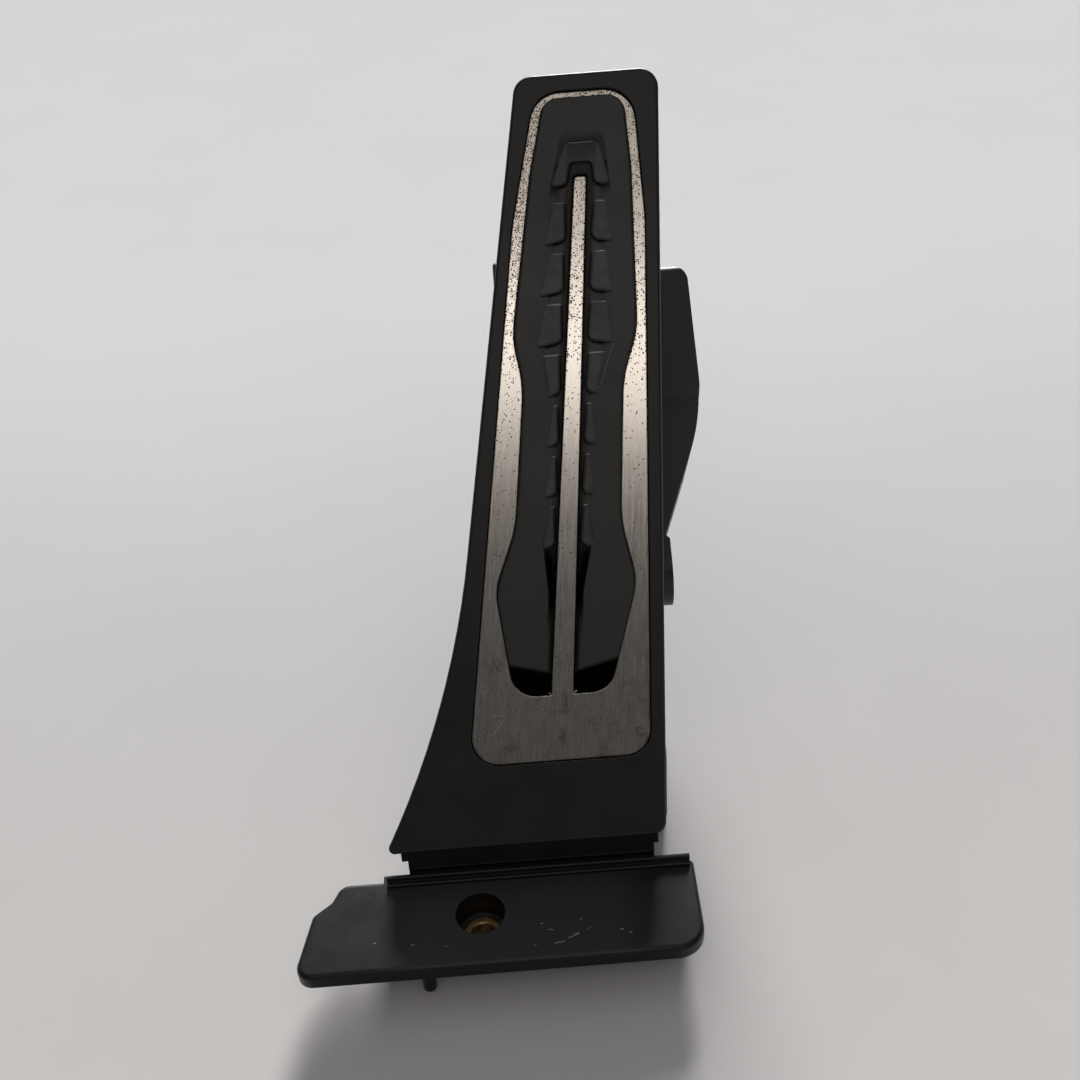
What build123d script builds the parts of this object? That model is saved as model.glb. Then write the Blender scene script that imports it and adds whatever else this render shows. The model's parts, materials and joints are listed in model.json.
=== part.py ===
from build123d import *
from math import atan2, cos, degrees, radians, sin, tan
import os

# Accelerator pedal module that stands on a car floor. Floor plane at Z 0, floor screw axis at X 0 Y 0,
# Y towards the front of the car, X to the right of the driver. Millimetres.

# Pedal stance
hinge_y = 15.0  # film hinge axis behind the floor screw
hinge_rise = 3.5  # film hinge axis above the flange
pad_angle = 53.0  # released pad to floor
pad_travel = 16.0  # swing of the pad

# Foot flange, plan corners as X and Y
flange_top = 17.0
flange_thickness = 4.5
flange_edge = 1.4
flange_right = 62.2
flange_left = -51.9
flange_rear = 13.8
flange_front_right = -16.8
flange_front_left = -17.4
flange_notch_inset = 3.9  # from the left end
flange_notch_y = 3.6
flange_step_inset = 9.0
flange_step_y = 8.0
flange_ear_inset = 11.5
flange_radii = [1.5, 8.0, 4.5, 2.5, 3.0, 4.0]  # from the rear right corner round the front

# Floor screw
rim_radius = 7.0
boss_radius = 9.6  # at the flange
boss_foot_radius = 7.4
sleeve_radius = 5.8
sleeve_bore = 3.3
sleeve_length = 8.0
sleeve_chamfer = 0.4

# Locating peg under the flange
peg_x = -15.5
peg_y = -12.5
peg_radius = 1.9
peg_tip_z = 2.5

# Hinge beam and floor plate of the foot
beam_left = -28.0
beam_inset = 1.9  # from the right end of the flange
beam_front = 5.0
beam_back = 15.5
beam_wall = 2.5
beam_cells = 5
beam_roof = 6.0
plate_top = 4.0
plate_ledge = 4.0  # beside the free wall of the housing
plate_neck_inset = 8.0  # from the right edge of the plate
plate_front_ledge = 2.0
plate_lip = 3.0  # behind the housing
plate_corner = 5.0
tongue_length = 10.0
tongue_width = 11.0
tongue_height = 3.0
tongue_spread = 24.0
tongue_chamfer = 2.5

# Film hinge strip
strip_left = -26.8
strip_inset = 1.2  # from the right end of the flange
strip_front = 4.0  # ahead of the hinge axis
strip_ledge = 1.4
strip_ledge_height = 1.1
strip_rear = 2.0  # behind the hinge axis, under the film
strip_bar = 2.4  # depth of the bar beside the film
strip_edge = 0.4
strip_key_width = 2.0
strip_key_back = 1.0  # ahead of the hinge axis
strip_key_depth = 2.5
key_clearance = 0.1
film_radius = 0.6
film_gap = 0.2
film_left_inset = 1.7  # from the ends of the root
film_right_inset = 1.3

# Pad, outline in its own plane: X and distance up from the hinge axis
pad_front = 6.0  # front face ahead of the hinge axis
pad_depth = 10.0
pad_wall = 2.2
pad_edge = 1.0
pad_top = 224.6
pad_lip = 5.5
pad_right_foot_margin = 5.34  # pad beyond the half width of the trim
pad_right_head_margin = 7.31
pad_left_head_margin = 5.89
pad_left_knee = 3.7
pad_knee = 88.7
pad_left_foot = -26.2
pad_head_radius = 5.5
pad_foot_radius = 4.0
pad_toe_radius = 1.6
root_left_inset = 4.3  # from the ends of the pad foot
root_right_inset = 2.3
root_start = 2.5
root_front = 4.0  # at the lip of the pad
rib_thickness = 1.8
rib_spread = 12.5
rib_foot = 30.0  # lowest cross rib
rib_pitch = 28.0
rib_rows = 4
rib_head_drop = 20.6  # highest cross rib below the head of the pad

# Steel trim in the pad, leaned like the pad
trim_lean = 6.36
trim_axis_x = 22.65
trim_foot = 28.7
trim_head_margin = 5.2  # below the head of the pad
trim_shoulder_drop = 37.4  # below the head of the trim
trim_foot_half = 26.0
trim_shoulder_half = 19.0
trim_head_half = 14.0
trim_head_radius = 9.0
trim_shoulder_radius = 45.0
trim_foot_radius = 7.5
trim_thickness = 1.0
trim_recess = 1.3
trim_gap = 0.3
skin_under_trim = 1.7

# Rubber insert, half widths about the leaned axis and distances up from the hinge axis
rubber_head_margin = 1.9  # below the head of the trim
rubber_side_margin = 2.7  # inside the head of the trim
rubber_temple_drop = 20.5  # below the head of the rubber
rubber_temple_half = 14.3
rubber_shoulder = 150.0
rubber_shoulder_half = 17.8
rubber_waist_drop = 13.0  # below the shoulder
rubber_waist_half = 14.2
rubber_flank = 96.0
rubber_flank_half = 14.9
rubber_hip = 78.5
rubber_hip_half = 20.2
rubber_foot = 47.7
rubber_foot_half = 13.6
rubber_radii = [5.0, 25.0, 30.0, 40.0, 40.0, 18.0, 7.0]  # from head to foot
rubber_sheet = 1.0
rubber_crown = 0.8  # above the pad front
rubber_edge = 0.7
rubber_gap = 0.3
foot_bevel = 6.5
leg_radius = 2.0  # inner corner at the foot of each leg
tongue_drop = 22.5  # tip of the steel tongue below the head of the rubber
tongue_head_half = 1.65
tongue_foot_half = 3.3
tongue_radius = 0.8

# Channel and scales on the rubber, distances down from its head
channel_depth = 1.3
channel_ramp = 2.6  # run of its outer wall
channel_steps = [
    (6.2, 10.5, 3.0),  # half width, distance down, corner radius
    (9.4, 29.9, 4.0),
    (11.1, 65.5, 2.0),
    (11.0, 71.0, 2.0),
    (7.5, 83.5, 4.0),
    (7.3, 126.5, 4.0),
    (5.2, 140.5, 4.0),
]
channel_foot_half = 5.1
scale_drop = 29.9
scale_pitch = 14.4
scale_length = 11.0
scale_lift = 0.4
scale_step = 1.25
scale_slope = 1.3  # outer end of the lower edge below its inner end
scale_inset = 3.6
scale_flare = 0.54  # inner edge leans away from the tongue
scale_widths = [(9.2, 10.2), (10.1, 10.7), (10.8, 10.9), (9.6, 7.4), (7.0, 7.1), (7.0, 7.1), (6.9, 7.1)]
scale_radii = [0.4, 0.8, 0.8, 2.4]
hoof_drop = 12.9
hoof_height = 12.1
hoof_head_half = 5.6
hoof_foot_half = 8.3
hoof_slope = 0.9
hoof_radii = [3.0, 1.0, 2.0, 1.5]
arch_height = 6.5
arch_head_half = 3.1
arch_foot_half = 3.9

# Slide guide on the back of the pad and cross pin of the lever
lever_x = 39.0
pin_v = 140.0  # pin up the pad, released
pin_slide = 20.0  # run of the pin along the guide
pin_depth = 11.0  # pin behind the hinge axis plane
pin_radius = 4.0
pin_play = 0.3
guide_wall = 2.6
guide_plate = 2.0
guide_skirt = 3.0
guide_end = 5.0
guide_corner = 6.0
guide_over_run = 0.5

# Lever, placed in the plane of the fully pressed pad
pivot_v = 90.0
pivot_depth = 25.0
arm_width = 8.0
arm_side_play = 0.6
hub_radius = 9.0
axle_radius = 4.0
axle_play = 0.04
nose_arm = 22.0
nose_angle = 10.0
nose_radius = 3.0
nose_rise = 9.0
nose_play = 0.05
nose_back = 1.0  # neck of the nose behind the nose axis
neck_width = 4.2
arm_root = 8.0  # radii of the arm at the hub and at the pin
arm_tip = 5.5
heel_root = 7.0  # radii of the short arm at the hub and above the nose
heel_tip = 4.0
pocket_length = 35.0
pocket_width = 7.0
pocket_depth = 2.0

# Housing
wall = 2.5
deck_depth = 8.0  # top wall below the hinge plane of the pressed pad
deck_foot = 28.0
deck_head = 197.0
head_depth = 26.0
housing_left = 16.0
housing_right = 58.0
housing_front = 42.0
housing_back_reach = 15.4  # foot of the back wall behind the spring axis
housing_front_radius = 4.0
housing_crest_radius = 3.0
housing_back_radius = 10.0
housing_edge = 1.2
side_rib = 2.0
side_rib_height = 2.5
side_rib_first = 52.0
side_rib_pitch = 20.0
side_ribs = 5
side_rib_inset = 3.0
slot_half = 9.0
slot_foot = 92.0
slot_head_wall = 1.2  # between the slot and the barrel of the stop
bush_radius = 7.0
bush_boss = 9.5
bush_seat = 8.0
bush_rim = 1.2
bush_rim_radius = 8.5
hub_play = 0.3

# Base screws
post_radius = 3.6
post_height = 12.0
post_inset = 4.6
post_front_inset = 12.0
post_back_inset = 7.0
base_screw_radius = 1.6
base_screw_head = 3.4
base_screw_head_height = 2.2
base_screw_sink = 0.3
base_screw_play = 0.1
base_head_play = 0.2
thread_play = 0.02

# Return springs between the lower seat and the rocking cup
cup_radius = 10.6
cup_drop = 8.0  # spring face of the cup below the nose axis
cup_thickness = 2.5
saddle_width = 12.0
saddle_depth = 8.0
saddle_drop = 1.5
spigot_play = 0.5
spigot_length = 4.0
seat_radius = 10.6
seat_thickness = 2.5
outer_coil_radius = 8.2
outer_wire = 1.0
outer_turns = 5
inner_coil_radius = 5.0
inner_wire = 0.7
inner_turns = 6
wire_sides = 6

# Kick-down stop at the top of the housing
kick_x = 40.0
kick_inset = 17.0  # below the head of the housing
kick_stem = 3.5
kick_mouth_play = 0.1
kick_collar = 4.7
kick_collar_play = 0.3
kick_wall = 1.8
kick_length = 20.0
kick_gap = 0.3
kick_collar_height = 3.0
kick_guide = 1.8
kick_cap = 2.0
kick_coil_radius = 3.4
kick_wire = 0.5
kick_turns = 4
kick_tip = 1.2

# Sensor cover on the right of the housing
gasket = 0.8
cover_height = 21.9  # above its seat
cover_wall = 2.2
cover_head_inset = 6.5  # below the head of the housing
cover_step_v = 142.8
cover_step = 4.0
cover_step_run = 3.2
cover_head_foot = 33.88
cover_belly_v = 152.0
cover_belly = 50.0
cover_chin_v = 112.0
cover_chin = 48.0
cover_head_radius = 3.0
cover_heel_radius = 5.0
cover_belly_radius = 6.0
cover_chin_radius = 8.0
lobe_radius = 12.0
lobe_height = 7.5
lobe_wall = 2.0
lobe_toe = 5.0
lobe_crease = 1.2
taper_foot = 98.0
taper_head = 137.6
cover_cheek = 66.0  # round between the slope and the flat
cover_corner = 6.5
deep_chamber_margin = 8.4  # behind the slope
ear_radius = 4.2
ear_thickness = 3.2
ear_reach = 3.5  # ear centre outside the cover
ear_spacing = 25.0
ear_boss_wall = 1.5
ear_play = 0.15
cover_screw_radius = 1.5
cover_screw_head = 2.7
cover_screw_head_height = 2.2
cover_screw_length = 9.0
cover_screw_tip = 0.5  # free bore beyond the screw

# Sensor
board_inset = 3.4
board_lift = 4.4
board_thickness = 1.6
standoff_radius = 2.2
standoff_places = [(112.0, 30.0), (152.0, 18.0), (140.0, 42.0)]  # up the deck and below it
rotor_radius = 8.5
rotor_lift = 0.6
rotor_thickness = 2.6

# Connector
plug_lift = 10.4  # axis above the seat of the cover
plug_width = 17.0
plug_height = 22.0
plug_wall = 2.0
plug_reach = 9.47  # mouth behind the cover
plug_depth = 15.0
plug_length = 29.0
plug_corner = 2.5
pin_size = 1.0
pin_rows = 2
pin_row_pitch = 5.0
pin_columns = 3
pin_column_pitch = 5.5
pin_recess = 6.0
pin_tail = 5.0  # behind the root of the shroud
pin_tail_step = 3.0
latch_width = 6.0
latch_length = 5.0
latch_height = 1.6
latch_recess = 5.0

# Derived places
beam_right = flange_right - beam_inset
strip_right = flange_right - strip_inset
plate_left = housing_left - plate_ledge
plate_right = housing_right
plate_front = housing_front - plate_front_ledge
neck_right = plate_right - plate_neck_inset
hinge_z = flange_top + hinge_rise
deck_angle = pad_angle - pad_travel
pad_back = pad_front - pad_depth
trim_top = pad_front - trim_recess
trim_bottom = trim_top - trim_thickness
sheet_bottom = trim_bottom - rubber_sheet
skin_back = sheet_bottom - skin_under_trim
crown = pad_front + rubber_crown
channel_floor = crown - channel_depth
trim_head = pad_top - trim_head_margin
trim_shoulder = trim_head - trim_shoulder_drop
rubber_head = trim_head - rubber_head_margin
rubber_head_half = trim_head_half - rubber_side_margin
rubber_temple = rubber_head - rubber_temple_drop
rubber_waist = rubber_shoulder - rubber_waist_drop
tongue_head = rubber_head - tongue_drop
scale_first = rubber_head - scale_drop
hoof_head = rubber_head - hoof_drop
hoof_foot = hoof_head - hoof_height
hoof_arch = hoof_foot + arch_height
kick_v = deck_head - kick_inset
kick_bore = kick_collar + kick_collar_play
kick_barrel = kick_bore + kick_wall
slot_head = kick_v - kick_barrel - slot_head_wall
spigot_radius = inner_coil_radius - inner_wire - spigot_play
cover_head = deck_head - cover_head_inset
deep_chamber = taper_head + deep_chamber_margin


def tilted(angle, v, n):
    """Y and Z of a point v up from the hinge axis and n ahead of it, in a plane at an angle to the floor."""
    turn = radians(angle)
    return hinge_y + v * cos(turn) - n * sin(turn), hinge_z + v * sin(turn) + n * cos(turn)


def on_pad(v, n):
    return tilted(pad_angle, v, n)


def on_deck(v, n):
    return tilted(deck_angle, v, n)


def tilted_plane(angle):
    turn = radians(angle)
    return Plane(origin=(0, hinge_y, hinge_z), x_dir=(1, 0, 0), z_dir=(0, -sin(turn), cos(turn)))


def leaned(half, v):
    """X and distance up the pad of a point half a width to the right of the leaned axis."""
    return trim_axis_x + v * tan(radians(trim_lean)) + half, v


def leaned_pair(points):
    """Corners of an outline symmetric about the leaned axis, from its right half listed head to foot."""
    return [leaned(half, v) for half, v in points] + [leaned(-half, v) for half, v in reversed(points)]


def both(values):
    return values + values[::-1]


def towards(foot, head, z):
    """Point at height z on the line from foot to head."""
    share = (z - foot[1]) / (head[1] - foot[1])
    return foot[0] + share * (head[0] - foot[0]), z


pad_plane = tilted_plane(pad_angle)
deck_plane = tilted_plane(deck_angle)
pad_axis = Axis((0, hinge_y, hinge_z), pad_plane.z_dir)
pivot = on_deck(pivot_v, -pivot_depth)
pin = on_pad(pin_v, -pin_depth)
nose = (pivot[0] + nose_arm * cos(radians(nose_angle)), pivot[1] + nose_arm * sin(radians(nose_angle)))
nose_head = (nose[0] - nose_back, nose[1] + nose_rise)
spring_top = nose[1] - cup_drop
spring_foot = plate_top + seat_thickness
housing_back = nose[0] + housing_back_reach
plate_back = housing_back + plate_lip
post_front_y = housing_front + post_front_inset
post_back_y = housing_back - post_back_inset
cover_seat = housing_right + gasket
cover_right = cover_seat + cover_height
lobe_right = cover_seat + lobe_height
chamber_right = lobe_right - lobe_wall
cover_back = on_deck(cover_head, -cover_head_foot)
cover_heel = on_deck(cover_belly_v, -cover_belly)
plug_x = cover_seat + plug_lift
plug_z = (cover_back[1] + cover_heel[1]) / 2
plug_mouth_y = cover_back[0] + plug_reach
plug_root_y = plug_mouth_y - plug_length
pin_tail_y = plug_root_y - pin_tail

# Outlines used by more than one piece
right_foot = leaned(trim_foot_half + pad_right_foot_margin, pad_lip)
left_foot = (pad_left_foot, pad_lip)
root_left = pad_left_foot + root_left_inset
root_right = right_foot[0] - root_right_inset
film_left = root_left + film_left_inset
film_right = root_right - film_right_inset
film_x = (film_left + film_right) / 2
key_y = hinge_y - strip_key_back - strip_key_width / 2
with BuildSketch() as pad_outline:
    with BuildLine():
        right_head = leaned(trim_head_half + pad_right_head_margin, pad_top)
        left_head = leaned(-trim_head_half - pad_left_head_margin, pad_top)
        knee = (pad_left_knee, pad_knee)
        Line(right_foot, right_head)
        Line(right_head, left_head)
        Line(left_head, knee)
        TangentArc(knee, left_foot, tangent=(knee[0] - left_head[0], knee[1] - left_head[1]))
        Line(left_foot, right_foot)
    make_face()
    fillet(pad_outline.vertices().group_by(Axis.Y)[-1], pad_head_radius)
    fillet(pad_outline.vertices().group_by(Axis.Y)[0].sort_by(Axis.X)[-1], pad_foot_radius)
    fillet(pad_outline.vertices().sort_by(Axis.X)[0], pad_toe_radius)

with BuildSketch() as trim_outline:
    with BuildLine():
        trim_half = [
            (trim_head_half, trim_head),
            (trim_shoulder_half, trim_shoulder),
            (trim_foot_half, trim_foot),
        ]
        trim_radii = [trim_head_radius, trim_shoulder_radius, trim_foot_radius]
        FilletPolyline(*leaned_pair(trim_half), radius=both(trim_radii), close=True)
    make_face()

with BuildSketch() as rubber_outline:
    with BuildLine():
        rubber_half = [
            (rubber_head_half, rubber_head),
            (rubber_temple_half, rubber_temple),
            (rubber_shoulder_half, rubber_shoulder),
            (rubber_waist_half, rubber_waist),
            (rubber_flank_half, rubber_flank),
            (rubber_hip_half, rubber_hip),
            (rubber_foot_half, rubber_foot),
        ]
        FilletPolyline(*leaned_pair(rubber_half), radius=both(rubber_radii), close=True)
    make_face()


def tongue_outline(play):
    """Steel tongue between the legs of the rubber, widened by play, down to the foot of the trim."""
    with BuildSketch() as outline:
        with BuildLine():
            foot = trim_foot + trim_thickness
            half = [(tongue_head_half + play, tongue_head + play), (tongue_foot_half + play, foot)]
            FilletPolyline(*leaned_pair(half), radius=both([tongue_radius, 0.0]), close=True)
        make_face()
    return outline.sketch


tongue = tongue_outline(0)
tongue_slot = tongue_outline(rubber_gap)

# Foot
with BuildPart() as base_plate:
    with BuildSketch(Plane.XY.offset(flange_top - flange_thickness)):
        with BuildLine():
            FilletPolyline(
                (flange_right, flange_rear),
                (flange_right, flange_front_right),
                (flange_left, flange_front_left),
                (flange_left + flange_notch_inset, flange_notch_y),
                (flange_left + flange_step_inset, flange_step_y),
                (flange_left + flange_ear_inset, flange_rear),
                radius=flange_radii,
                close=True,
            )
        make_face()
    extrude(amount=flange_thickness)
    fillet(base_plate.faces().sort_by(Axis.Z)[-1].edges(), flange_edge)
    # hinge beam, open below in cells
    with BuildSketch(Plane.XY):
        with Locations(((beam_left + beam_right) / 2, (beam_front + beam_back) / 2)):
            Rectangle(beam_right - beam_left, beam_back - beam_front)
    extrude(amount=flange_top)
    cell_pitch = (beam_right - beam_left - beam_wall) / beam_cells
    with BuildSketch(Plane.XY):
        with Locations(((beam_left + beam_right) / 2, (beam_front + beam_back) / 2)):
            with GridLocations(cell_pitch, 1, beam_cells, 1):
                Rectangle(cell_pitch - beam_wall, beam_back - beam_front - 2 * beam_wall)
    extrude(amount=flange_top - beam_roof, mode=Mode.SUBTRACT)
    # floor plate under the housing with its tongues
    with BuildSketch(Plane.XY):
        with Locations(((plate_left + plate_right) / 2, (plate_front + plate_back) / 2)):
            RectangleRounded(plate_right - plate_left, plate_back - plate_front, plate_corner)
        neck_front = beam_back - beam_wall
        neck_back = plate_front + plate_corner
        with Locations(((plate_left + neck_right) / 2, (neck_front + neck_back) / 2)):
            Rectangle(neck_right - plate_left, neck_back - neck_front)
    extrude(amount=plate_top)
    housing_x = (housing_left + housing_right) / 2
    with BuildSketch(Plane.XY):
        with Locations((housing_x, plate_back)):
            with GridLocations(tongue_spread, 1, 2, 1):
                Rectangle(tongue_width, 2 * tongue_length)
    extrude(amount=tongue_height)
    tip_edges = base_plate.faces().sort_by(Axis.Y)[-2:].edges().filter_by(Axis.Z)
    chamfer(tip_edges, tongue_chamfer)
    # screw boss and peg
    standing = (Align.CENTER, Align.CENTER, Align.MIN)
    Cone(boss_foot_radius, boss_radius, flange_top - flange_thickness, align=standing)
    with BuildSketch(Plane.XY.offset(peg_tip_z)):
        with Locations((peg_x, peg_y)):
            Circle(peg_radius)
    extrude(amount=flange_top - flange_thickness - peg_tip_z)
    with BuildSketch(Plane.XY):
        Circle(sleeve_radius)
    extrude(amount=sleeve_length, mode=Mode.SUBTRACT)
    with BuildSketch(Plane.XY.offset(sleeve_length)):
        Circle(rim_radius)
    extrude(amount=flange_top - sleeve_length, mode=Mode.SUBTRACT)
    # groove for the key of the hinge strip
    with BuildSketch(Plane.XY.offset(flange_top)):
        with Locations((film_x, key_y)):
            Rectangle(film_right - film_left + 2 * key_clearance, strip_key_width + 2 * key_clearance)
    extrude(amount=-strip_key_depth - key_clearance, mode=Mode.SUBTRACT)
    # screw holes up into the housing posts
    post_places = [
        (x, y)
        for x in (housing_left + post_inset, housing_right - post_inset)
        for y in (post_front_y, post_back_y)
    ]
    with BuildSketch(Plane.XY):
        with Locations(*post_places):
            Circle(base_screw_radius + base_screw_play)
    extrude(amount=plate_top, mode=Mode.SUBTRACT)
    with BuildSketch(Plane.XY):
        with Locations(*post_places):
            Circle(base_screw_head + base_head_play)
    extrude(amount=base_screw_sink + base_screw_head_height, mode=Mode.SUBTRACT)

with BuildPart() as screw_sleeve:
    with BuildSketch(Plane.XY):
        Circle(sleeve_radius)
        Circle(sleeve_bore, mode=Mode.SUBTRACT)
    extrude(amount=sleeve_length)
    chamfer(screw_sleeve.faces().sort_by(Axis.Z)[-1].edges(), sleeve_chamfer)

head_top = base_screw_sink + base_screw_head_height
with BuildPart() as base_screws:
    with BuildSketch(Plane.XY.offset(base_screw_sink)):
        with Locations(*post_places):
            Circle(base_screw_head)
    extrude(amount=base_screw_head_height)
    with BuildSketch(Plane.XY.offset(head_top)):
        with Locations(*post_places):
            Circle(base_screw_radius)
    extrude(amount=plate_top + post_height - 2 * wall - head_top)
    with BuildSketch(Plane.XY.offset(base_screw_sink)):
        with Locations(*post_places):
            RegularPolygon(base_screw_radius, 6)
    extrude(amount=base_screw_head_height / 2, mode=Mode.SUBTRACT)

# Hinge strip: bar on the flange, keyed into it
strip_top = hinge_z - film_radius - film_gap
with BuildPart() as hinge_strip:
    with BuildSketch(Plane.YZ.offset(strip_left)):
        with BuildLine():
            Polyline(
                (hinge_y - strip_front, flange_top),
                (hinge_y - strip_front, flange_top + strip_ledge_height),
                (hinge_y - strip_front + strip_ledge, flange_top + strip_ledge_height),
                (hinge_y - strip_front + strip_ledge, strip_top),
                (hinge_y - strip_front + strip_bar, strip_top),
                (hinge_y - strip_front + strip_bar, flange_top),
                close=True,
            )
        make_face()
    extrude(amount=strip_right - strip_left)
    long_edges = hinge_strip.edges().filter_by(Axis.X)
    ledge_edge = long_edges.group_by(Axis.Y)[0].sort_by(Axis.Z)[-1]
    crest_edge = long_edges.group_by(Axis.Z)[-1].sort_by(Axis.Y)[0]
    fillet([ledge_edge, crest_edge], strip_edge)
    # seat under the film and key below it
    with BuildSketch(Plane.XY.offset(flange_top)):
        with Locations((film_x, hinge_y + (strip_rear + strip_bar - strip_front) / 2)):
            Rectangle(film_right - film_left, strip_rear + strip_front - strip_bar)
    extrude(amount=strip_top - flange_top)
    with BuildSketch(Plane.XY.offset(flange_top)):
        with Locations((film_x, key_y)):
            Rectangle(film_right - film_left, strip_key_width)
    extrude(amount=-strip_key_depth)

# Pad
with BuildPart() as pedal_pad:
    with BuildSketch(pad_plane.offset(pad_back)):
        add(pad_outline.sketch)
    extrude(amount=pad_depth)
    fillet(pedal_pad.faces().sort_by(pad_axis)[-1].edges(), pad_edge)
    # hollow back between the ribs
    cross_ribs = [rib_foot + row * rib_pitch for row in range(rib_rows)] + [kick_v, pad_top - rib_head_drop]
    with BuildSketch(pad_plane.offset(pad_back)):
        offset(pad_outline.sketch, amount=-pad_wall)
        with Locations(*[leaned(0, v) for v in cross_ribs]):
            Rectangle(4 * trim_foot_half, rib_thickness, mode=Mode.SUBTRACT)
        with Locations(leaned(-rib_spread, pad_top / 2), leaned(rib_spread, pad_top / 2)):
            Rectangle(rib_thickness, 2 * pad_top, rotation=-trim_lean, mode=Mode.SUBTRACT)
        with Locations((kick_x, kick_v)):
            Circle(kick_stem + rib_thickness, mode=Mode.SUBTRACT)
    extrude(amount=skin_back - pad_back, mode=Mode.SUBTRACT)
    # pocket for the trim
    with BuildSketch(pad_plane.offset(pad_front)):
        offset(trim_outline.sketch, amount=trim_gap)
    extrude(amount=sheet_bottom - pad_front, mode=Mode.SUBTRACT)
    # root and film at the hinge
    root_slope = (root_front - film_radius) / pad_lip
    root_toe = film_radius + root_slope * root_start
    with BuildSketch(Plane.YZ.offset(root_left)):
        with BuildLine():
            Polyline(
                on_pad(root_start, pad_back),
                on_pad(root_start, root_toe),
                on_pad(pad_lip, root_front),
                on_pad(pad_lip + pad_wall, root_front),
                on_pad(pad_lip + pad_wall, pad_back),
                close=True,
            )
        make_face()
    extrude(amount=root_right - root_left)
    with BuildSketch(Plane.YZ.offset(film_left)):
        with Locations((hinge_y, hinge_z)):
            Circle(film_radius)
        with BuildLine():
            Polyline(
                on_pad(0, -film_radius),
                on_pad(root_start, -film_radius),
                on_pad(root_start, root_toe),
                on_pad(0, film_radius),
                close=True,
            )
        make_face()
    extrude(amount=film_right - film_left)

# Steel trim
with BuildPart() as trim_plate:
    with BuildSketch(pad_plane.offset(trim_bottom)):
        add(trim_outline.sketch)
        offset(rubber_outline.sketch, amount=rubber_gap, mode=Mode.SUBTRACT)
        add(tongue)
    extrude(amount=trim_thickness)

# Scales: outlines cut from roof-tile wedges
with BuildPart() as scales:
    with BuildSketch(pad_plane.offset(channel_floor - scale_lift)):
        for row, (upper, lower) in enumerate(scale_widths):
            top_v = scale_first - row * scale_pitch
            low_v = top_v - scale_length
            for side in (-1, 1):
                with BuildLine():
                    FilletPolyline(
                        leaned(side * (scale_inset + scale_flare), top_v),
                        leaned(side * upper, top_v),
                        leaned(side * lower, low_v - scale_slope),
                        leaned(side * scale_inset, low_v),
                        radius=scale_radii,
                        close=True,
                    )
                make_face()
        with BuildLine():
            hoof_half = [
                (hoof_head_half, hoof_head),
                (hoof_foot_half, hoof_foot - hoof_slope),
                (arch_foot_half, hoof_foot),
                (arch_head_half, hoof_arch),
            ]
            FilletPolyline(*leaned_pair(hoof_half), radius=both(hoof_radii), close=True)
        make_face()
    extrude(amount=2 * channel_depth)
    reach = 2 * rubber_hip_half
    with BuildSketch(Plane.YZ.offset(trim_axis_x - reach)):
        tile = scale_length + scale_slope
        wedges = [(scale_first - row * scale_pitch, tile) for row in range(len(scale_widths))]
        for top_v, length in wedges + [(hoof_head, hoof_height + hoof_slope)]:
            with BuildLine():
                Polyline(
                    on_pad(top_v, channel_floor + scale_lift),
                    on_pad(top_v - length, channel_floor + scale_step),
                    on_pad(top_v - length, channel_floor - scale_lift),
                    on_pad(top_v, channel_floor - scale_lift),
                    close=True,
                )
            make_face()
    extrude(amount=3 * reach, mode=Mode.INTERSECT)

with BuildPart() as rubber_insert:
    with BuildSketch(pad_plane.offset(sheet_bottom)):
        offset(trim_outline.sketch, amount=-pad_wall)
    extrude(amount=rubber_sheet)
    with BuildSketch(pad_plane.offset(trim_bottom)) as rubber_legs:
        add(rubber_outline.sketch)
        add(tongue_slot, mode=Mode.SUBTRACT)
        leg_feet = rubber_legs.vertices().sort_by(Axis.Y)[:4]
        fillet(leg_feet.sort_by(Axis.X)[1:3], leg_radius)
    extrude(amount=crown - trim_bottom)
    fillet(rubber_insert.faces().sort_by(pad_axis)[-1].edges(), rubber_edge)
    # channel on both sides of the tongue
    for depth, inset in ((channel_depth, channel_ramp), (-channel_depth, -channel_ramp)):
        with BuildSketch(pad_plane.offset(crown - depth)):
            with BuildLine():
                head = rubber_head - inset
                channel_half = [(half - inset, head - drop) for half, drop, radius in channel_steps]
                channel_half.append((channel_foot_half - inset, trim_foot))
                channel_radii = [radius for half, drop, radius in channel_steps] + [0.0]
                FilletPolyline(*leaned_pair(channel_half), radius=both(channel_radii), close=True)
            make_face()
    loft(ruled=True, mode=Mode.SUBTRACT)
    # long bevel at the feet of the legs
    with BuildSketch(Plane.YZ.offset(trim_axis_x - reach)):
        with BuildLine():
            Polyline(
                on_pad(rubber_foot - rubber_edge, trim_top + rubber_gap),
                on_pad(rubber_foot + foot_bevel, crown),
                on_pad(rubber_foot + foot_bevel, crown + channel_depth),
                on_pad(rubber_foot - rubber_edge, crown + channel_depth),
                close=True,
            )
        make_face()
    extrude(amount=3 * reach, mode=Mode.SUBTRACT)
    add(scales.part)

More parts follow.
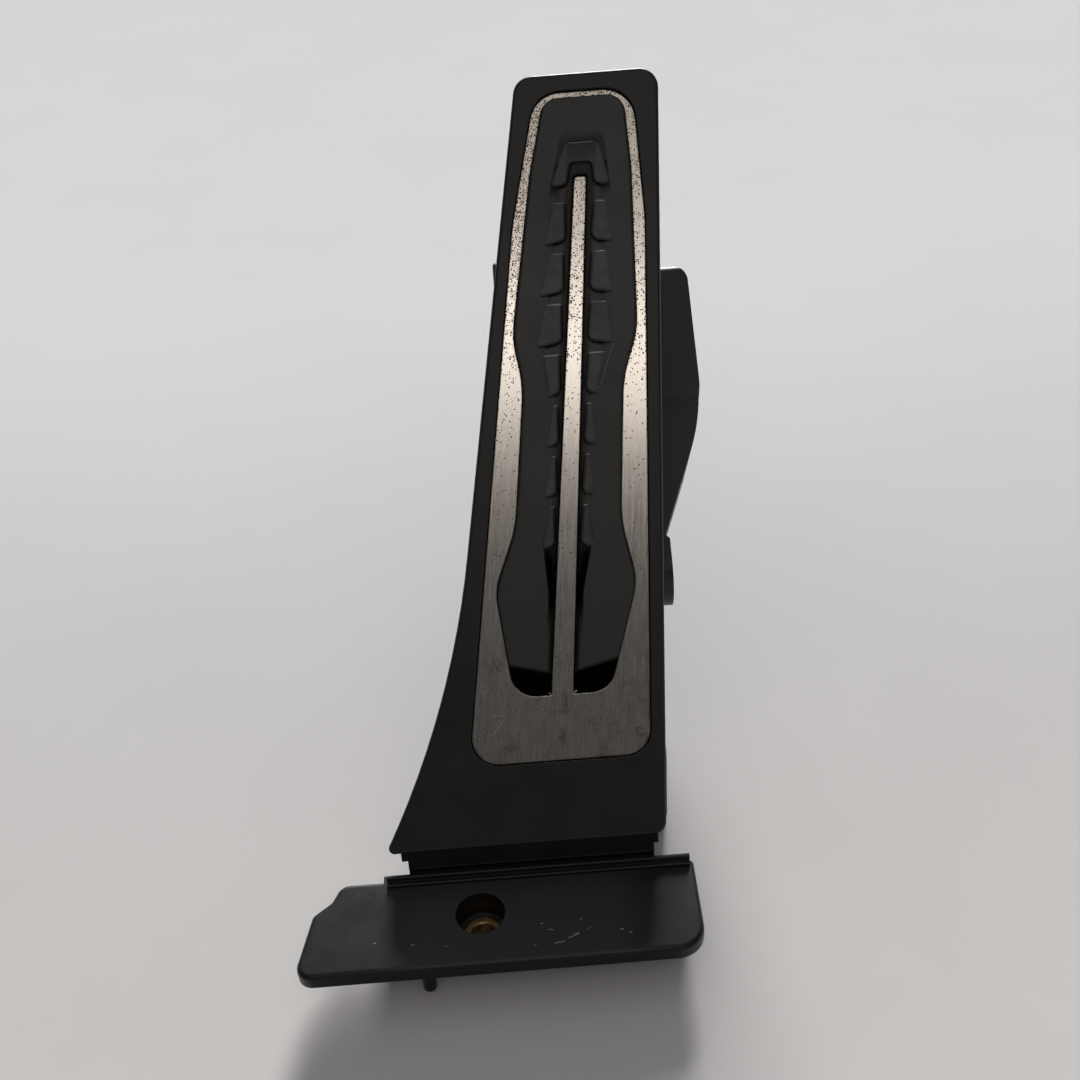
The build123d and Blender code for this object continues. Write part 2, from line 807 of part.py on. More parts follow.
# Slide guide: two slotted cheeks under a plate on the skin of the pad
guide_half = arm_width / 2 + arm_side_play + guide_wall
guide_low = pin_v - pin_radius - guide_end
guide_high = pin_v + pin_slide + pin_radius + guide_end
guide_foot = -pin_depth - pin_radius - guide_skirt
with BuildPart() as slide_guide:
    with BuildSketch(Plane.YZ.offset(lever_x - guide_half)):
        with BuildLine():
            FilletPolyline(
                on_pad(guide_low, skin_back),
                on_pad(guide_high, skin_back),
                on_pad(guide_high, guide_foot),
                on_pad(guide_low, guide_foot),
                radius=[0.0, 0.0, guide_corner, guide_corner],
                close=True,
            )
        make_face()
    extrude(amount=2 * guide_half)
    with BuildSketch(Plane.YZ.offset(lever_x - guide_half)):
        with Locations(on_pad(pin_v + pin_slide / 2, -pin_depth)):
            slot_width = 2 * (pin_radius + pin_play)
            SlotCenterToCenter(pin_slide + 2 * guide_over_run, slot_width, rotation=pad_angle)
    extrude(amount=2 * guide_half, mode=Mode.SUBTRACT)
    with BuildSketch(pad_plane.offset(skin_back - guide_plate)):
        with Locations((lever_x, (guide_low + guide_high) / 2)):
            Rectangle(arm_width + 2 * arm_side_play, 2 * (guide_high - guide_low))
    extrude(amount=guide_foot - skin_back, mode=Mode.SUBTRACT)

# Lever on its axle
hub_left = housing_left + bush_seat + bush_rim + hub_play
hub_right = housing_right - bush_seat - bush_rim - hub_play
with BuildPart() as lever:
    with BuildSketch(Plane.YZ.offset(lever_x - arm_width / 2)):
        with Locations(pivot):
            Circle(arm_root)
        with Locations(pin):
            Circle(arm_tip)
        make_hull()
    extrude(amount=arm_width)
    with BuildSketch(Plane.YZ.offset(lever_x - arm_width / 2)):
        with Locations(pivot):
            Circle(heel_root)
        with Locations(nose_head):
            Circle(heel_tip)
        make_hull()
    extrude(amount=arm_width)
    # nose that presses the spring cup
    with BuildSketch(Plane.YZ.offset(lever_x - arm_width / 2)):
        with Locations(nose):
            Circle(nose_radius)
        with Locations((nose[0] - nose_back / 2, nose[1] + nose_rise / 2)):
            Rectangle(neck_width, nose_rise)
    extrude(amount=arm_width)
    # hub and cross pin
    with BuildSketch(Plane.YZ.offset(hub_left)):
        with Locations(pivot):
            Circle(hub_radius)
    extrude(amount=hub_right - hub_left)
    with BuildSketch(Plane.YZ.offset(lever_x - guide_half)):
        with Locations(pin):
            Circle(pin_radius)
    extrude(amount=2 * guide_half)
    with BuildSketch(Plane.YZ.offset(hub_left)):
        with Locations(pivot):
            Circle(axle_radius)
    extrude(amount=hub_right - hub_left, mode=Mode.SUBTRACT)
    # lightening pockets in the long arm
    arm_turn = degrees(atan2(pin[1] - pivot[1], pin[0] - pivot[0]))
    arm_middle = ((pin[0] + pivot[0]) / 2, (pin[1] + pivot[1]) / 2)
    for x, way in ((lever_x - arm_width / 2, 1), (lever_x + arm_width / 2, -1)):
        with BuildSketch(Plane.YZ.offset(x)):
            with Locations(arm_middle):
                SlotOverall(pocket_length, pocket_width, rotation=arm_turn)
        extrude(amount=way * pocket_depth, mode=Mode.SUBTRACT)

axle_left = housing_left + wall + hub_play
axle_right = housing_right + rotor_lift + rotor_thickness
with BuildPart() as axle:
    with BuildSketch(Plane.YZ.offset(axle_left)):
        with Locations(pivot):
            Circle(axle_radius)
    extrude(amount=axle_right - axle_left)

with BuildPart() as sensor_rotor:
    with BuildSketch(Plane.YZ.offset(axle_right - rotor_thickness)):
        with Locations(pivot):
            Circle(rotor_radius)
            Circle(axle_radius, mode=Mode.SUBTRACT)
    extrude(amount=rotor_thickness)


def bush(seat_start, seat_end, rim_end):
    """Flanged bush in a wall of the housing, rim towards the lever."""
    with BuildPart() as ring:
        with BuildSketch(Plane.YZ.offset(seat_start)):
            with Locations(pivot):
                Circle(bush_radius)
        extrude(amount=seat_end - seat_start)
        with BuildSketch(Plane.YZ.offset(seat_end)):
            with Locations(pivot):
                Circle(bush_rim_radius)
        extrude(amount=rim_end - seat_end)
        with BuildSketch(Plane.YZ.offset(min(seat_start, rim_end))):
            with Locations(pivot):
                Circle(axle_radius + axle_play)
        extrude(amount=abs(rim_end - seat_start), mode=Mode.SUBTRACT)
    return ring.part


left_bush = bush(housing_left + wall, housing_left + bush_seat, housing_left + bush_seat + bush_rim)
right_bush = bush(housing_right, housing_right - bush_seat, housing_right - bush_seat - bush_rim)

# Rocking cup under the nose, lower seat and the two springs
with BuildPart() as spring_cup:
    with BuildSketch(Plane.XY.offset(spring_top)):
        with Locations((lever_x, nose[0])):
            Circle(cup_radius)
    extrude(amount=cup_thickness)
    with BuildSketch(Plane.XY.offset(spring_top + cup_thickness)):
        with Locations((lever_x, nose[0])):
            Rectangle(saddle_width, saddle_depth)
    extrude(amount=cup_drop - cup_thickness - saddle_drop)
    with BuildSketch(Plane.XY.offset(spring_top)):
        with Locations((lever_x, nose[0])):
            Circle(spigot_radius)
    extrude(amount=-spigot_length)
    with BuildSketch(Plane.YZ.offset(lever_x - saddle_width)):
        with Locations(nose):
            Circle(nose_radius + nose_play)
    extrude(amount=2 * saddle_width, mode=Mode.SUBTRACT)

with BuildPart() as lower_spring_seat:
    with BuildSketch(Plane.XY.offset(plate_top)):
        with Locations((lever_x, nose[0])):
            Circle(seat_radius)
    extrude(amount=seat_thickness)
    with BuildSketch(Plane.XY.offset(spring_foot)):
        with Locations((lever_x, nose[0])):
            Circle(spigot_radius)
    extrude(amount=spigot_length)


def coil(place, radius, wire, turns, length):
    """Compression spring of the given length standing on a plane."""
    with BuildPart() as spring:
        rise = length - 2 * wire
        with BuildLine(place.offset(wire)):
            path = Helix(pitch=rise / turns, height=rise, radius=radius, direction=place.z_dir)
        with BuildSketch(Plane(origin=path @ 0, x_dir=place.z_dir, z_dir=path % 0)):
            RegularPolygon(wire, wire_sides)
        sweep(path=path, is_frenet=True)
    return spring.part


spring_plane = Plane(origin=(lever_x, nose[0], spring_foot), x_dir=(1, 0, 0), z_dir=(0, 0, 1))
outer_spring = coil(spring_plane, outer_coil_radius, outer_wire, outer_turns, spring_top - spring_foot)
inner_spring = coil(spring_plane, inner_coil_radius, inner_wire, inner_turns, spring_top - spring_foot)

# Housing
front_foot = (housing_front, plate_top)
back_foot = (housing_back, plate_top)
front_head = on_deck(deck_foot, -deck_depth)
back_head = on_deck(deck_head, -deck_depth - head_depth)
crest = on_deck(deck_head, -deck_depth)


def tower(foot_z):
    """Side outline of the housing with its walls carried down to foot_z."""
    with BuildSketch() as outline:
        with BuildLine():
            FilletPolyline(
                towards(front_foot, front_head, foot_z),
                front_head,
                crest,
                back_head,
                towards(back_foot, back_head, foot_z),
                radius=[0.0, housing_front_radius, housing_crest_radius, housing_back_radius, 0.0],
                close=True,
            )
        make_face()
    return outline.sketch


tower_outline = tower(plate_top)
with BuildSketch() as tower_hollow:
    offset(tower(plate_top - 4 * wall), amount=-wall)

belly_slope = (cover_belly - cover_chin) / (cover_belly_v - cover_chin_v)
ears = [
    on_deck(pivot_v, -pivot_depth - lobe_radius - ear_reach),
    on_deck(cover_chin_v, -cover_chin - ear_reach),
    on_deck(cover_chin_v + ear_spacing, -cover_chin - ear_spacing * belly_slope - ear_reach),
]
standoffs = [on_deck(v, -drop) for v, drop in standoff_places]

# Stiffening ribs of the free side wall
with BuildSketch() as side_rib_rows:
    for row in range(side_ribs):
        with Locations((side_rib_first + row * side_rib_pitch, 0)):
            Rectangle(side_rib, 2 * pad_top)
with BuildSketch() as side_rib_faces:
    offset(tower(plate_top - side_rib_inset), amount=-side_rib_inset)
    add(side_rib_rows.sketch, mode=Mode.INTERSECT)

with BuildPart() as housing:
    with BuildSketch(Plane.YZ.offset(housing_left)):
        add(tower_outline)
    extrude(amount=housing_right - housing_left)
    free_face = housing.faces().sort_by(Axis.X)[0]
    foot_edge = free_face.edges().sort_by(Axis.Z)[0]
    fillet([edge for edge in free_face.edges() if edge != foot_edge], housing_edge)
    with BuildSketch(Plane.YZ.offset(housing_left)):
        add(side_rib_faces.sketch)
    extrude(amount=-side_rib_height)
    with BuildSketch(Plane.YZ.offset(housing_left + wall)):
        add(tower_hollow.sketch)
    extrude(amount=housing_right - housing_left - 2 * wall, mode=Mode.SUBTRACT)
    # seats of the bushes
    for x, way in ((housing_left, 1), (housing_right, -1)):
        with BuildSketch(Plane.YZ.offset(x)):
            with Locations(pivot):
                Circle(bush_boss)
        extrude(amount=way * bush_seat)
    with BuildSketch(Plane.YZ.offset(housing_left + wall)):
        with Locations(pivot):
            Circle(bush_radius)
    extrude(amount=housing_right - housing_left, mode=Mode.SUBTRACT)
    # posts for the base screws
    with BuildSketch(Plane.XY.offset(plate_top)):
        with Locations(*post_places):
            Circle(post_radius)
    extrude(amount=post_height)
    with BuildSketch(Plane.XY.offset(plate_top)):
        with Locations(*post_places):
            Circle(base_screw_radius + thread_play)
    extrude(amount=post_height - 2 * wall, mode=Mode.SUBTRACT)
    # barrel of the kick-down stop
    with BuildSketch(deck_plane.offset(-deck_depth)):
        with Locations((kick_x, kick_v)):
            Circle(kick_barrel)
    extrude(amount=-kick_length)
    with BuildSketch(deck_plane.offset(-deck_depth)):
        with Locations((kick_x, kick_v)):
            Circle(kick_stem + kick_mouth_play)
    extrude(amount=-kick_length, mode=Mode.SUBTRACT)
    with BuildSketch(deck_plane.offset(-deck_depth - wall)):
        with Locations((kick_x, kick_v)):
            Circle(kick_bore)
    extrude(amount=wall - kick_length, mode=Mode.SUBTRACT)
    # slot for the lever and the slide guide
    with BuildSketch(deck_plane.offset(-deck_depth - 2 * wall)):
        with Locations((lever_x, (slot_foot + slot_head) / 2)):
            Rectangle(2 * slot_half, slot_head - slot_foot)
    extrude(amount=3 * wall, mode=Mode.SUBTRACT)
    # screw bosses behind the cover ears and standoffs of the board
    with BuildSketch(Plane.YZ.offset(housing_right)):
        with Locations(*ears):
            Circle(cover_screw_radius + ear_boss_wall)
    extrude(amount=-cover_screw_length)
    with BuildSketch(Plane.YZ.offset(housing_right)):
        with Locations(*ears):
            Circle(cover_screw_radius + thread_play)
    extrude(amount=ear_boss_wall - cover_screw_tip - cover_screw_length, mode=Mode.SUBTRACT)
    with BuildSketch(Plane.YZ.offset(housing_right)):
        with Locations(*standoffs):
            Circle(standoff_radius)
    extrude(amount=board_lift)

# Sensor cover with the connector shroud
with BuildSketch() as cover_outline:
    with BuildLine():
        FilletPolyline(
            on_deck(pivot_v, lobe_radius - pivot_depth),
            on_deck(cover_step_v, -deck_depth - cover_step),
            on_deck(cover_step_v + cover_step_run, -deck_depth),
            on_deck(cover_head, -deck_depth),
            cover_back,
            cover_heel,
            on_deck(cover_chin_v, -cover_chin),
            on_deck(pivot_v, -lobe_radius - pivot_depth),
            radius=[0, 0, 0, cover_head_radius, cover_heel_radius, cover_belly_radius, cover_chin_radius, 0],
            close=True,
        )
    make_face()
    with Locations(pivot):
        Circle(lobe_radius)

with BuildSketch() as chamber_outline:
    offset(cover_outline.sketch, amount=-cover_wall)

head_axis = Axis((0, hinge_y, hinge_z), deck_plane.y_dir)
deck_axis = Axis((0, hinge_y, hinge_z), deck_plane.z_dir)
with BuildPart() as sensor_cover:
    with BuildSketch(Plane.YZ.offset(cover_seat)):
        add(cover_outline.sketch)
    extrude(amount=cover_right + cover_wall - cover_seat)
    # front view: lobe, slope, flat and rounded head
    with BuildSketch(deck_plane.offset(-2 * cover_belly)):
        with BuildLine():
            lobe_foot = pivot_v - lobe_radius - 2 * cover_wall
            FilletPolyline(
                (housing_right, lobe_foot),
                (lobe_right, lobe_foot),
                (lobe_right, taper_foot - lobe_crease),
                (lobe_right - lobe_crease, taper_foot),
                (cover_right, taper_head),
                (cover_right, cover_head),
                (housing_right, cover_head),
                radius=[0.0, lobe_toe, 0.0, 0.0, cover_cheek, cover_corner, 0.0],
                close=True,
            )
        make_face()
    extrude(amount=3 * cover_belly, mode=Mode.INTERSECT)
    # ears
    with BuildSketch(Plane.YZ.offset(cover_seat)):
        with Locations(*ears):
            Circle(ear_radius)
    extrude(amount=ear_thickness)
    # connector shroud
    plug_plane = Plane(origin=(plug_x, plug_mouth_y, plug_z), x_dir=(1, 0, 0), z_dir=(0, -1, 0))
    with BuildSketch(plug_plane):
        RectangleRounded(plug_width, plug_height, plug_corner)
    extrude(amount=plug_mouth_y - plug_root_y)
    # latch nose for the lock of the plug
    with BuildSketch(Plane.YZ.offset(plug_x - latch_width / 2)):
        with BuildLine():
            latch_z = plug_z + plug_height / 2
            Polyline(
                (plug_mouth_y - latch_recess, latch_z),
                (plug_mouth_y - latch_recess - latch_length, latch_z + latch_height),
                (plug_mouth_y - latch_recess - latch_length, latch_z - latch_height / 2),
                (plug_mouth_y - latch_recess, latch_z - latch_height / 2),
                close=True,
            )
        make_face()
    extrude(amount=latch_width)
    with BuildSketch(plug_plane):
        bore_corner = plug_corner - plug_wall / 2
        RectangleRounded(plug_width - 2 * plug_wall, plug_height - 2 * plug_wall, bore_corner)
    extrude(amount=plug_depth, mode=Mode.SUBTRACT)
    # sensor chamber
    with BuildSketch(Plane.YZ.offset(cover_seat)):
        add(chamber_outline.sketch)
        with Locations(*ears):
            Circle(ear_radius, mode=Mode.SUBTRACT)
    extrude(amount=chamber_right - cover_seat, mode=Mode.SUBTRACT)
    with BuildSketch(Plane.YZ.offset(chamber_right)):
        add(chamber_outline.sketch)
        with BuildLine():
            Polyline(
                on_deck(deep_chamber, 0),
                on_deck(0, 0),
                on_deck(0, -2 * cover_belly),
                on_deck(deep_chamber, -2 * cover_belly),
                close=True,
            )
        make_face(mode=Mode.SUBTRACT)
    extrude(amount=cover_right - cover_wall - chamber_right, mode=Mode.SUBTRACT)
    # holes of the ears and of the terminals
    with BuildSketch(Plane.YZ.offset(cover_seat)):
        with Locations(*ears):
            Circle(cover_screw_radius + ear_play)
    extrude(amount=ear_thickness, mode=Mode.SUBTRACT)
    with BuildSketch(plug_plane):
        with GridLocations(pin_row_pitch, pin_column_pitch, pin_rows, pin_columns):
            Rectangle(pin_size, pin_size)
    extrude(amount=plug_mouth_y - pin_tail_y, mode=Mode.SUBTRACT)

with BuildPart() as cover_gasket:
    with BuildSketch(Plane.YZ.offset(housing_right)):
        add(cover_outline.sketch)
        add(chamber_outline.sketch, mode=Mode.SUBTRACT)
    extrude(amount=gasket)

with BuildPart() as cover_screws:
    with BuildSketch(Plane.YZ.offset(cover_seat + ear_thickness)):
        with Locations(*ears):
            Circle(cover_screw_head)
    extrude(amount=cover_screw_head_height)
    with BuildSketch(Plane.YZ.offset(cover_seat + ear_thickness)):
        with Locations(*ears):
            Circle(cover_screw_radius)
    extrude(amount=ear_boss_wall - cover_screw_length - ear_thickness)
    with BuildSketch(Plane.YZ.offset(cover_seat + ear_thickness + cover_screw_head_height)):
        with Locations(*ears):
            RegularPolygon(cover_screw_radius, 6)
    extrude(amount=-cover_screw_head_height / 2, mode=Mode.SUBTRACT)

# Sensor board and connector terminals
board_face = housing_right + board_lift + board_thickness
with BuildPart() as sensor_board:
    with BuildSketch(Plane.YZ.offset(housing_right + board_lift)):
        offset(cover_outline.sketch, amount=-board_inset)
    extrude(amount=board_thickness)

with BuildPart() as connector_terminals:
    for row in range(pin_rows):
        x = plug_x + (row - (pin_rows - 1) / 2) * pin_row_pitch
        tail = pin_tail_y - row * pin_tail_step
        for column in range(pin_columns):
            z = plug_z + (column - (pin_columns - 1) / 2) * pin_column_pitch
            with BuildSketch(Plane.XY.offset(z - pin_size / 2)):
                with BuildLine():
                    Polyline(
                        (board_face, tail - pin_size / 2),
                        (x + pin_size / 2, tail - pin_size / 2),
                        (x + pin_size / 2, plug_mouth_y - pin_recess),
                        (x - pin_size / 2, plug_mouth_y - pin_recess),
                        (x - pin_size / 2, tail + pin_size / 2),
                        (board_face, tail + pin_size / 2),
                        close=True,
                    )
                make_face()
            extrude(amount=pin_size)

# Kick-down stop
stem_top = -deck_depth - wall
collar_top = stem_top - kick_gap
collar_foot = collar_top - kick_collar_height
cap_top = -deck_depth - kick_length + kick_cap
with BuildPart() as kickdown_plunger:
    with BuildSketch(deck_plane.offset(collar_top)):
        with Locations((kick_x, kick_v)):
            Circle(kick_stem)
    extrude(amount=pad_back - kick_gap - collar_top)
    fillet(kickdown_plunger.faces().sort_by(deck_axis)[-1].edges(), kick_tip)
    with BuildSketch(deck_plane.offset(collar_foot)):
        with Locations((kick_x, kick_v)):
            Circle(kick_collar)
    extrude(amount=kick_collar_height)
    with BuildSketch(deck_plane.offset(collar_foot)):
        with Locations((kick_x, kick_v)):
            Circle(kick_guide)
    extrude(amount=-kick_collar_height)

with BuildPart() as kickdown_cap:
    with BuildSketch(deck_plane.offset(cap_top - kick_cap)):
        with Locations((kick_x, kick_v)):
            Circle(kick_bore)
    extrude(amount=kick_cap)

kick_place = Plane(
    origin=deck_plane.from_local_coords((kick_x, kick_v, cap_top)), x_dir=(1, 0, 0), z_dir=deck_plane.z_dir
)
kickdown_spring = coil(kick_place, kick_coil_radius, kick_wire, kick_turns, collar_foot - cap_top)

os.makedirs("parts", exist_ok=True)
pieces = {
    "base_plate": base_plate.part,
    "screw_sleeve": screw_sleeve.part,
    "base_screws": base_screws.part,
    "hinge_strip": hinge_strip.part,
    "housing": housing.part,
    "left_bush": left_bush,
    "right_bush": right_bush,
    "lower_spring_seat": lower_spring_seat.part,
    "outer_spring": outer_spring,
    "inner_spring": inner_spring,
    "sensor_cover": sensor_cover.part,
    "cover_gasket": cover_gasket.part,
    "cover_screws": cover_screws.part,
    "sensor_board": sensor_board.part,
    "connector_terminals": connector_terminals.part,
    "kickdown_spring": kickdown_spring,
    "kickdown_cap": kickdown_cap.part,
    "pedal_pad": pedal_pad.part,
    "trim_plate": trim_plate.part,
    "rubber_insert": rubber_insert.part,
    "slide_guide": slide_guide.part,
    "lever": lever.part,
    "axle": axle.part,
    "sensor_rotor": sensor_rotor.part,
    "spring_cup": spring_cup.part,
    "kickdown_plunger": kickdown_plunger.part,
}
for name, piece in pieces.items():
    piece.label = name
    export_step(piece, f"parts/{name}.step")
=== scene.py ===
import json
from math import cos, pi, radians, sin, tan

import bpy
from mathutils import Matrix, Vector


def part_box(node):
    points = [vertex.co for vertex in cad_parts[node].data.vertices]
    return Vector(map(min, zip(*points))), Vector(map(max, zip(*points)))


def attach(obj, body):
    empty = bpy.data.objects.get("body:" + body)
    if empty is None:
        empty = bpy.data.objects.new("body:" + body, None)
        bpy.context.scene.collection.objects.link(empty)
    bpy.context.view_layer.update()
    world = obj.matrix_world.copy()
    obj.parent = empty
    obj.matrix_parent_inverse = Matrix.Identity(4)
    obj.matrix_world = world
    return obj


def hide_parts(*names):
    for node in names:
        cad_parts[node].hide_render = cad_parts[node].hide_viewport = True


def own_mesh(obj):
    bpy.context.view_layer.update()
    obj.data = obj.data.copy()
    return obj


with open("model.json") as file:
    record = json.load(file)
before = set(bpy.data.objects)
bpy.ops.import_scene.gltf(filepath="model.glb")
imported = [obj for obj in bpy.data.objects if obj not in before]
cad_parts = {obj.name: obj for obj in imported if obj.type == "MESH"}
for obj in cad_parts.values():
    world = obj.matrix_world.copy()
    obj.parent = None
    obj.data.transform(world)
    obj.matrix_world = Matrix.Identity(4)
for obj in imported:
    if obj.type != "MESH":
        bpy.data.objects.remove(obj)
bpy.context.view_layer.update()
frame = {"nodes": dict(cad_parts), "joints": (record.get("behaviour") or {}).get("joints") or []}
cad = frame["nodes"]
joints = {joint["name"]: joint for joint in frame["joints"]}

# Stance of the pad, in metres in the shared frame
PAD_ANGLE = radians(53.0)
HINGE = Vector(joints["pedal_hinge"]["pos_m"])
UP_PAD = Vector((0, cos(PAD_ANGLE), sin(PAD_ANGLE)))
OFF_PAD = Vector((0, -sin(PAD_ANGLE), cos(PAD_ANGLE)))
TRIM_AXIS_X = 0.02265
TRIM_LEAN = tan(radians(6.36))
MM_PER_M = 1000.0

# Camera, from where the photograph was taken
CAMERA_PLACE = Vector((0.0249, -0.2424, 0.3297))
CAMERA_FORWARD = -OFF_PAD
CAMERA_ROLL = radians(4.4)
CAMERA_LENS = 45.0
CAMERA_SENSOR = 36.0

FLOAT = "NodeSocketFloat"
VECTOR = "NodeSocketVector"
COLOUR = "NodeSocketColor"


class Sheet:
    """A node tree with short calls that place and link its nodes."""

    def __init__(self, tree):
        self.tree = tree

    def feed(self, socket, value):
        if isinstance(value, bpy.types.NodeSocket):
            self.tree.links.new(value, socket)
        else:
            socket.default_value = value

    def add(self, kind, inputs=None, **settings):
        made = self.tree.nodes.new("ShaderNode" + kind)
        for name, value in settings.items():
            setattr(made, name, value)
        for socket, value in (inputs or {}).items():
            self.feed(made.inputs[socket], value)
        return made

    def place(self, group, **inputs):
        """A shared node group with its own values, socket names written with underscores."""
        made = self.add("Group", node_tree=group)
        for name, value in inputs.items():
            self.feed(made.inputs[name.replace("_", " ")], value)
        return made.outputs

    def math(self, operation, a, b=0.0, clamp=False):
        return self.add("Math", {0: a, 1: b}, operation=operation, use_clamp=clamp).outputs[0]

    def vector(self, operation, a, b=(0, 0, 0)):
        return self.add("VectorMath", {0: a, 1: b}, operation=operation).outputs["Vector"]

    def dot(self, a, b):
        return self.add("VectorMath", {0: a, 1: b}, operation="DOT_PRODUCT").outputs["Value"]

    def join(self, x, y, z=0.0):
        return self.add("CombineXYZ", {0: x, 1: y, 2: z}).outputs[0]

    def split(self, vector):
        return self.add("SeparateXYZ", {0: vector}).outputs

    def ramp(self, value, start, end, low=0.0, high=1.0):
        """Soft step from low at start to high at end."""
        inputs = {"Value": value, "From Min": start, "From Max": end, "To Min": low, "To Max": high}
        return self.add("MapRange", inputs, interpolation_type="SMOOTHSTEP").outputs["Result"]

    def mix(self, share, a, b, blend="MIX"):
        made = self.add("Mix", data_type="RGBA", blend_type=blend)
        self.feed(made.inputs[0], share)
        self.feed(made.inputs[6], a)
        self.feed(made.inputs[7], b)
        return made.outputs[2]

    def mix_vector(self, share, a, b):
        made = self.add("Mix", data_type="VECTOR")
        self.feed(made.inputs[0], share)
        self.feed(made.inputs[4], a)
        self.feed(made.inputs[5], b)
        return made.outputs[1]

    def noise(self, place, scale, detail=2.0, rough=0.5):
        inputs = {"Vector": place, "Scale": scale, "Detail": detail, "Roughness": rough}
        return self.add("TexNoise", inputs).outputs[0]

    def turn(self, normal, start, end):
        """A normal turned between the world and the piece, so that it holds at every pose."""
        settings = {"vector_type": "NORMAL", "convert_from": start, "convert_to": end}
        return self.add("VectorTransform", {0: normal}, **settings).outputs[0]

    def local_mm(self):
        """Place on the piece in millimetres, in the shared frame at rest."""
        place = self.add("TexCoord").outputs["Object"]
        return self.vector("MULTIPLY", place, (MM_PER_M, MM_PER_M, MM_PER_M))


class Group(Sheet):
    """A shader node group with named inputs and outputs."""

    def __init__(self, name, inputs, outputs):
        super().__init__(bpy.data.node_groups.new(name, "ShaderNodeTree"))
        for label, value in inputs.items():
            kind = VECTOR if isinstance(value, tuple) else FLOAT
            socket = self.tree.interface.new_socket(label, in_out="INPUT", socket_type=kind)
            socket.default_value = value
        for label, kind in outputs.items():
            self.tree.interface.new_socket(label, in_out="OUTPUT", socket_type=kind)
        self.given = self.tree.nodes.new("NodeGroupInput").outputs
        self.result = self.tree.nodes.new("NodeGroupOutput").inputs

    def put(self, **outputs):
        for name, value in outputs.items():
            self.feed(self.result[name], value)
        return self.tree


# Shared effects


def make_pad_place():
    """Place on the pad in millimetres: across from the leaned axis of the trim, and up from the hinge."""
    sheet = Group("pad_place", {}, {"Across": FLOAT, "Up": FLOAT, "Place": VECTOR})
    place = sheet.add("TexCoord").outputs["Object"]
    from_hinge = sheet.vector("SUBTRACT", place, HINGE)
    up = sheet.math("MULTIPLY", sheet.dot(from_hinge, UP_PAD), MM_PER_M)
    off = sheet.math("MULTIPLY", sheet.dot(from_hinge, OFF_PAD), MM_PER_M)
    x = sheet.math("MULTIPLY", sheet.split(place)[0], MM_PER_M)
    axis = sheet.math("ADD", sheet.math("MULTIPLY", up, TRIM_LEAN), TRIM_AXIS_X * MM_PER_M)
    across = sheet.math("SUBTRACT", x, axis)
    return sheet.put(Across=across, Up=up, Place=sheet.join(across, up, off))


def make_moulded_grain():
    """Fine spark-eroded grain of moulded plastic, with slow blotches in its gloss."""
    sheet = Group("moulded_grain", {"Grain": 5.0, "Blotch": 0.05}, {"Height": FLOAT, "Blotches": FLOAT})
    place = sheet.local_mm()
    fine = sheet.noise(place, sheet.given["Grain"], 2.0)
    slow = sheet.noise(place, sheet.given["Blotch"], 4.0, 0.6)
    return sheet.put(Height=fine, Blotches=slow)


def make_edge_rub():
    """Rounded edge normal, and a mask of where the edges have been rubbed."""
    sheet = Group("edge_rub", {"Radius": 0.0005, "Patch": 0.4}, {"Rubbed": FLOAT, "Normal": VECTOR})
    rounded = sheet.add("Bevel", {"Radius": sheet.given["Radius"]}, samples=4).outputs["Normal"]
    true = sheet.add("NewGeometry").outputs["Normal"]
    turn = sheet.math("SUBTRACT", 1.0, sheet.dot(rounded, true))
    edge = sheet.ramp(turn, 0.03, 0.25)
    patch = sheet.noise(sheet.local_mm(), sheet.given["Patch"], 3.0, 0.6)
    rubbed = sheet.math("MULTIPLY", edge, sheet.ramp(patch, 0.35, 0.7))
    return sheet.put(Rubbed=rubbed, Normal=rounded)


def make_brushed_lines():
    """Fine lines brushed up the length of the trim."""
    sheet = Group("brushed_lines", {"Place": (0.0, 0.0, 0.0)}, {"Lines": FLOAT, "Bands": FLOAT})
    place = sheet.given["Place"]
    fine = sheet.noise(sheet.vector("MULTIPLY", place, (7.0, 0.12, 1.0)), 1.0, 3.0, 0.6)
    broad = sheet.noise(sheet.vector("MULTIPLY", place, (1.1, 0.03, 1.0)), 1.0, 3.0, 0.6)
    return sheet.put(Lines=fine, Bands=broad)


def make_pitting():
    """Dark round pits scattered over the metal, as many as the density says."""
    inputs = {"Place": (0.0, 0.0, 0.0), "Cells": 1.0, "Density": 0.5, "Size": 0.3}
    sheet = Group("pitting", inputs, {"Pits": FLOAT, "Halo": FLOAT})
    wobble = sheet.add("TexNoise", {"Vector": sheet.given["Place"], "Scale": 3.0}).outputs[1]
    place = sheet.vector("ADD", sheet.given["Place"], sheet.vector("MULTIPLY", wobble, (0.35, 0.35, 0.0)))
    scattered = {"Vector": place, "Scale": sheet.given["Cells"]}
    cells = sheet.add("TexVoronoi", scattered, voronoi_dimensions="2D")
    luck = sheet.split(cells.outputs["Color"])
    there = sheet.math("LESS_THAN", luck[0], sheet.given["Density"])
    size = sheet.math("MULTIPLY", sheet.given["Size"], sheet.math("ADD", 0.35, luck[1]))
    near = sheet.math("DIVIDE", cells.outputs["Distance"], size)
    pits = sheet.math("MULTIPLY", there, sheet.ramp(near, 0.65, 1.0, 1.0, 0.0))
    halo = sheet.math("MULTIPLY", there, sheet.ramp(near, 0.7, 2.2, 1.0, 0.0))
    return sheet.put(Pits=pits, Halo=halo)


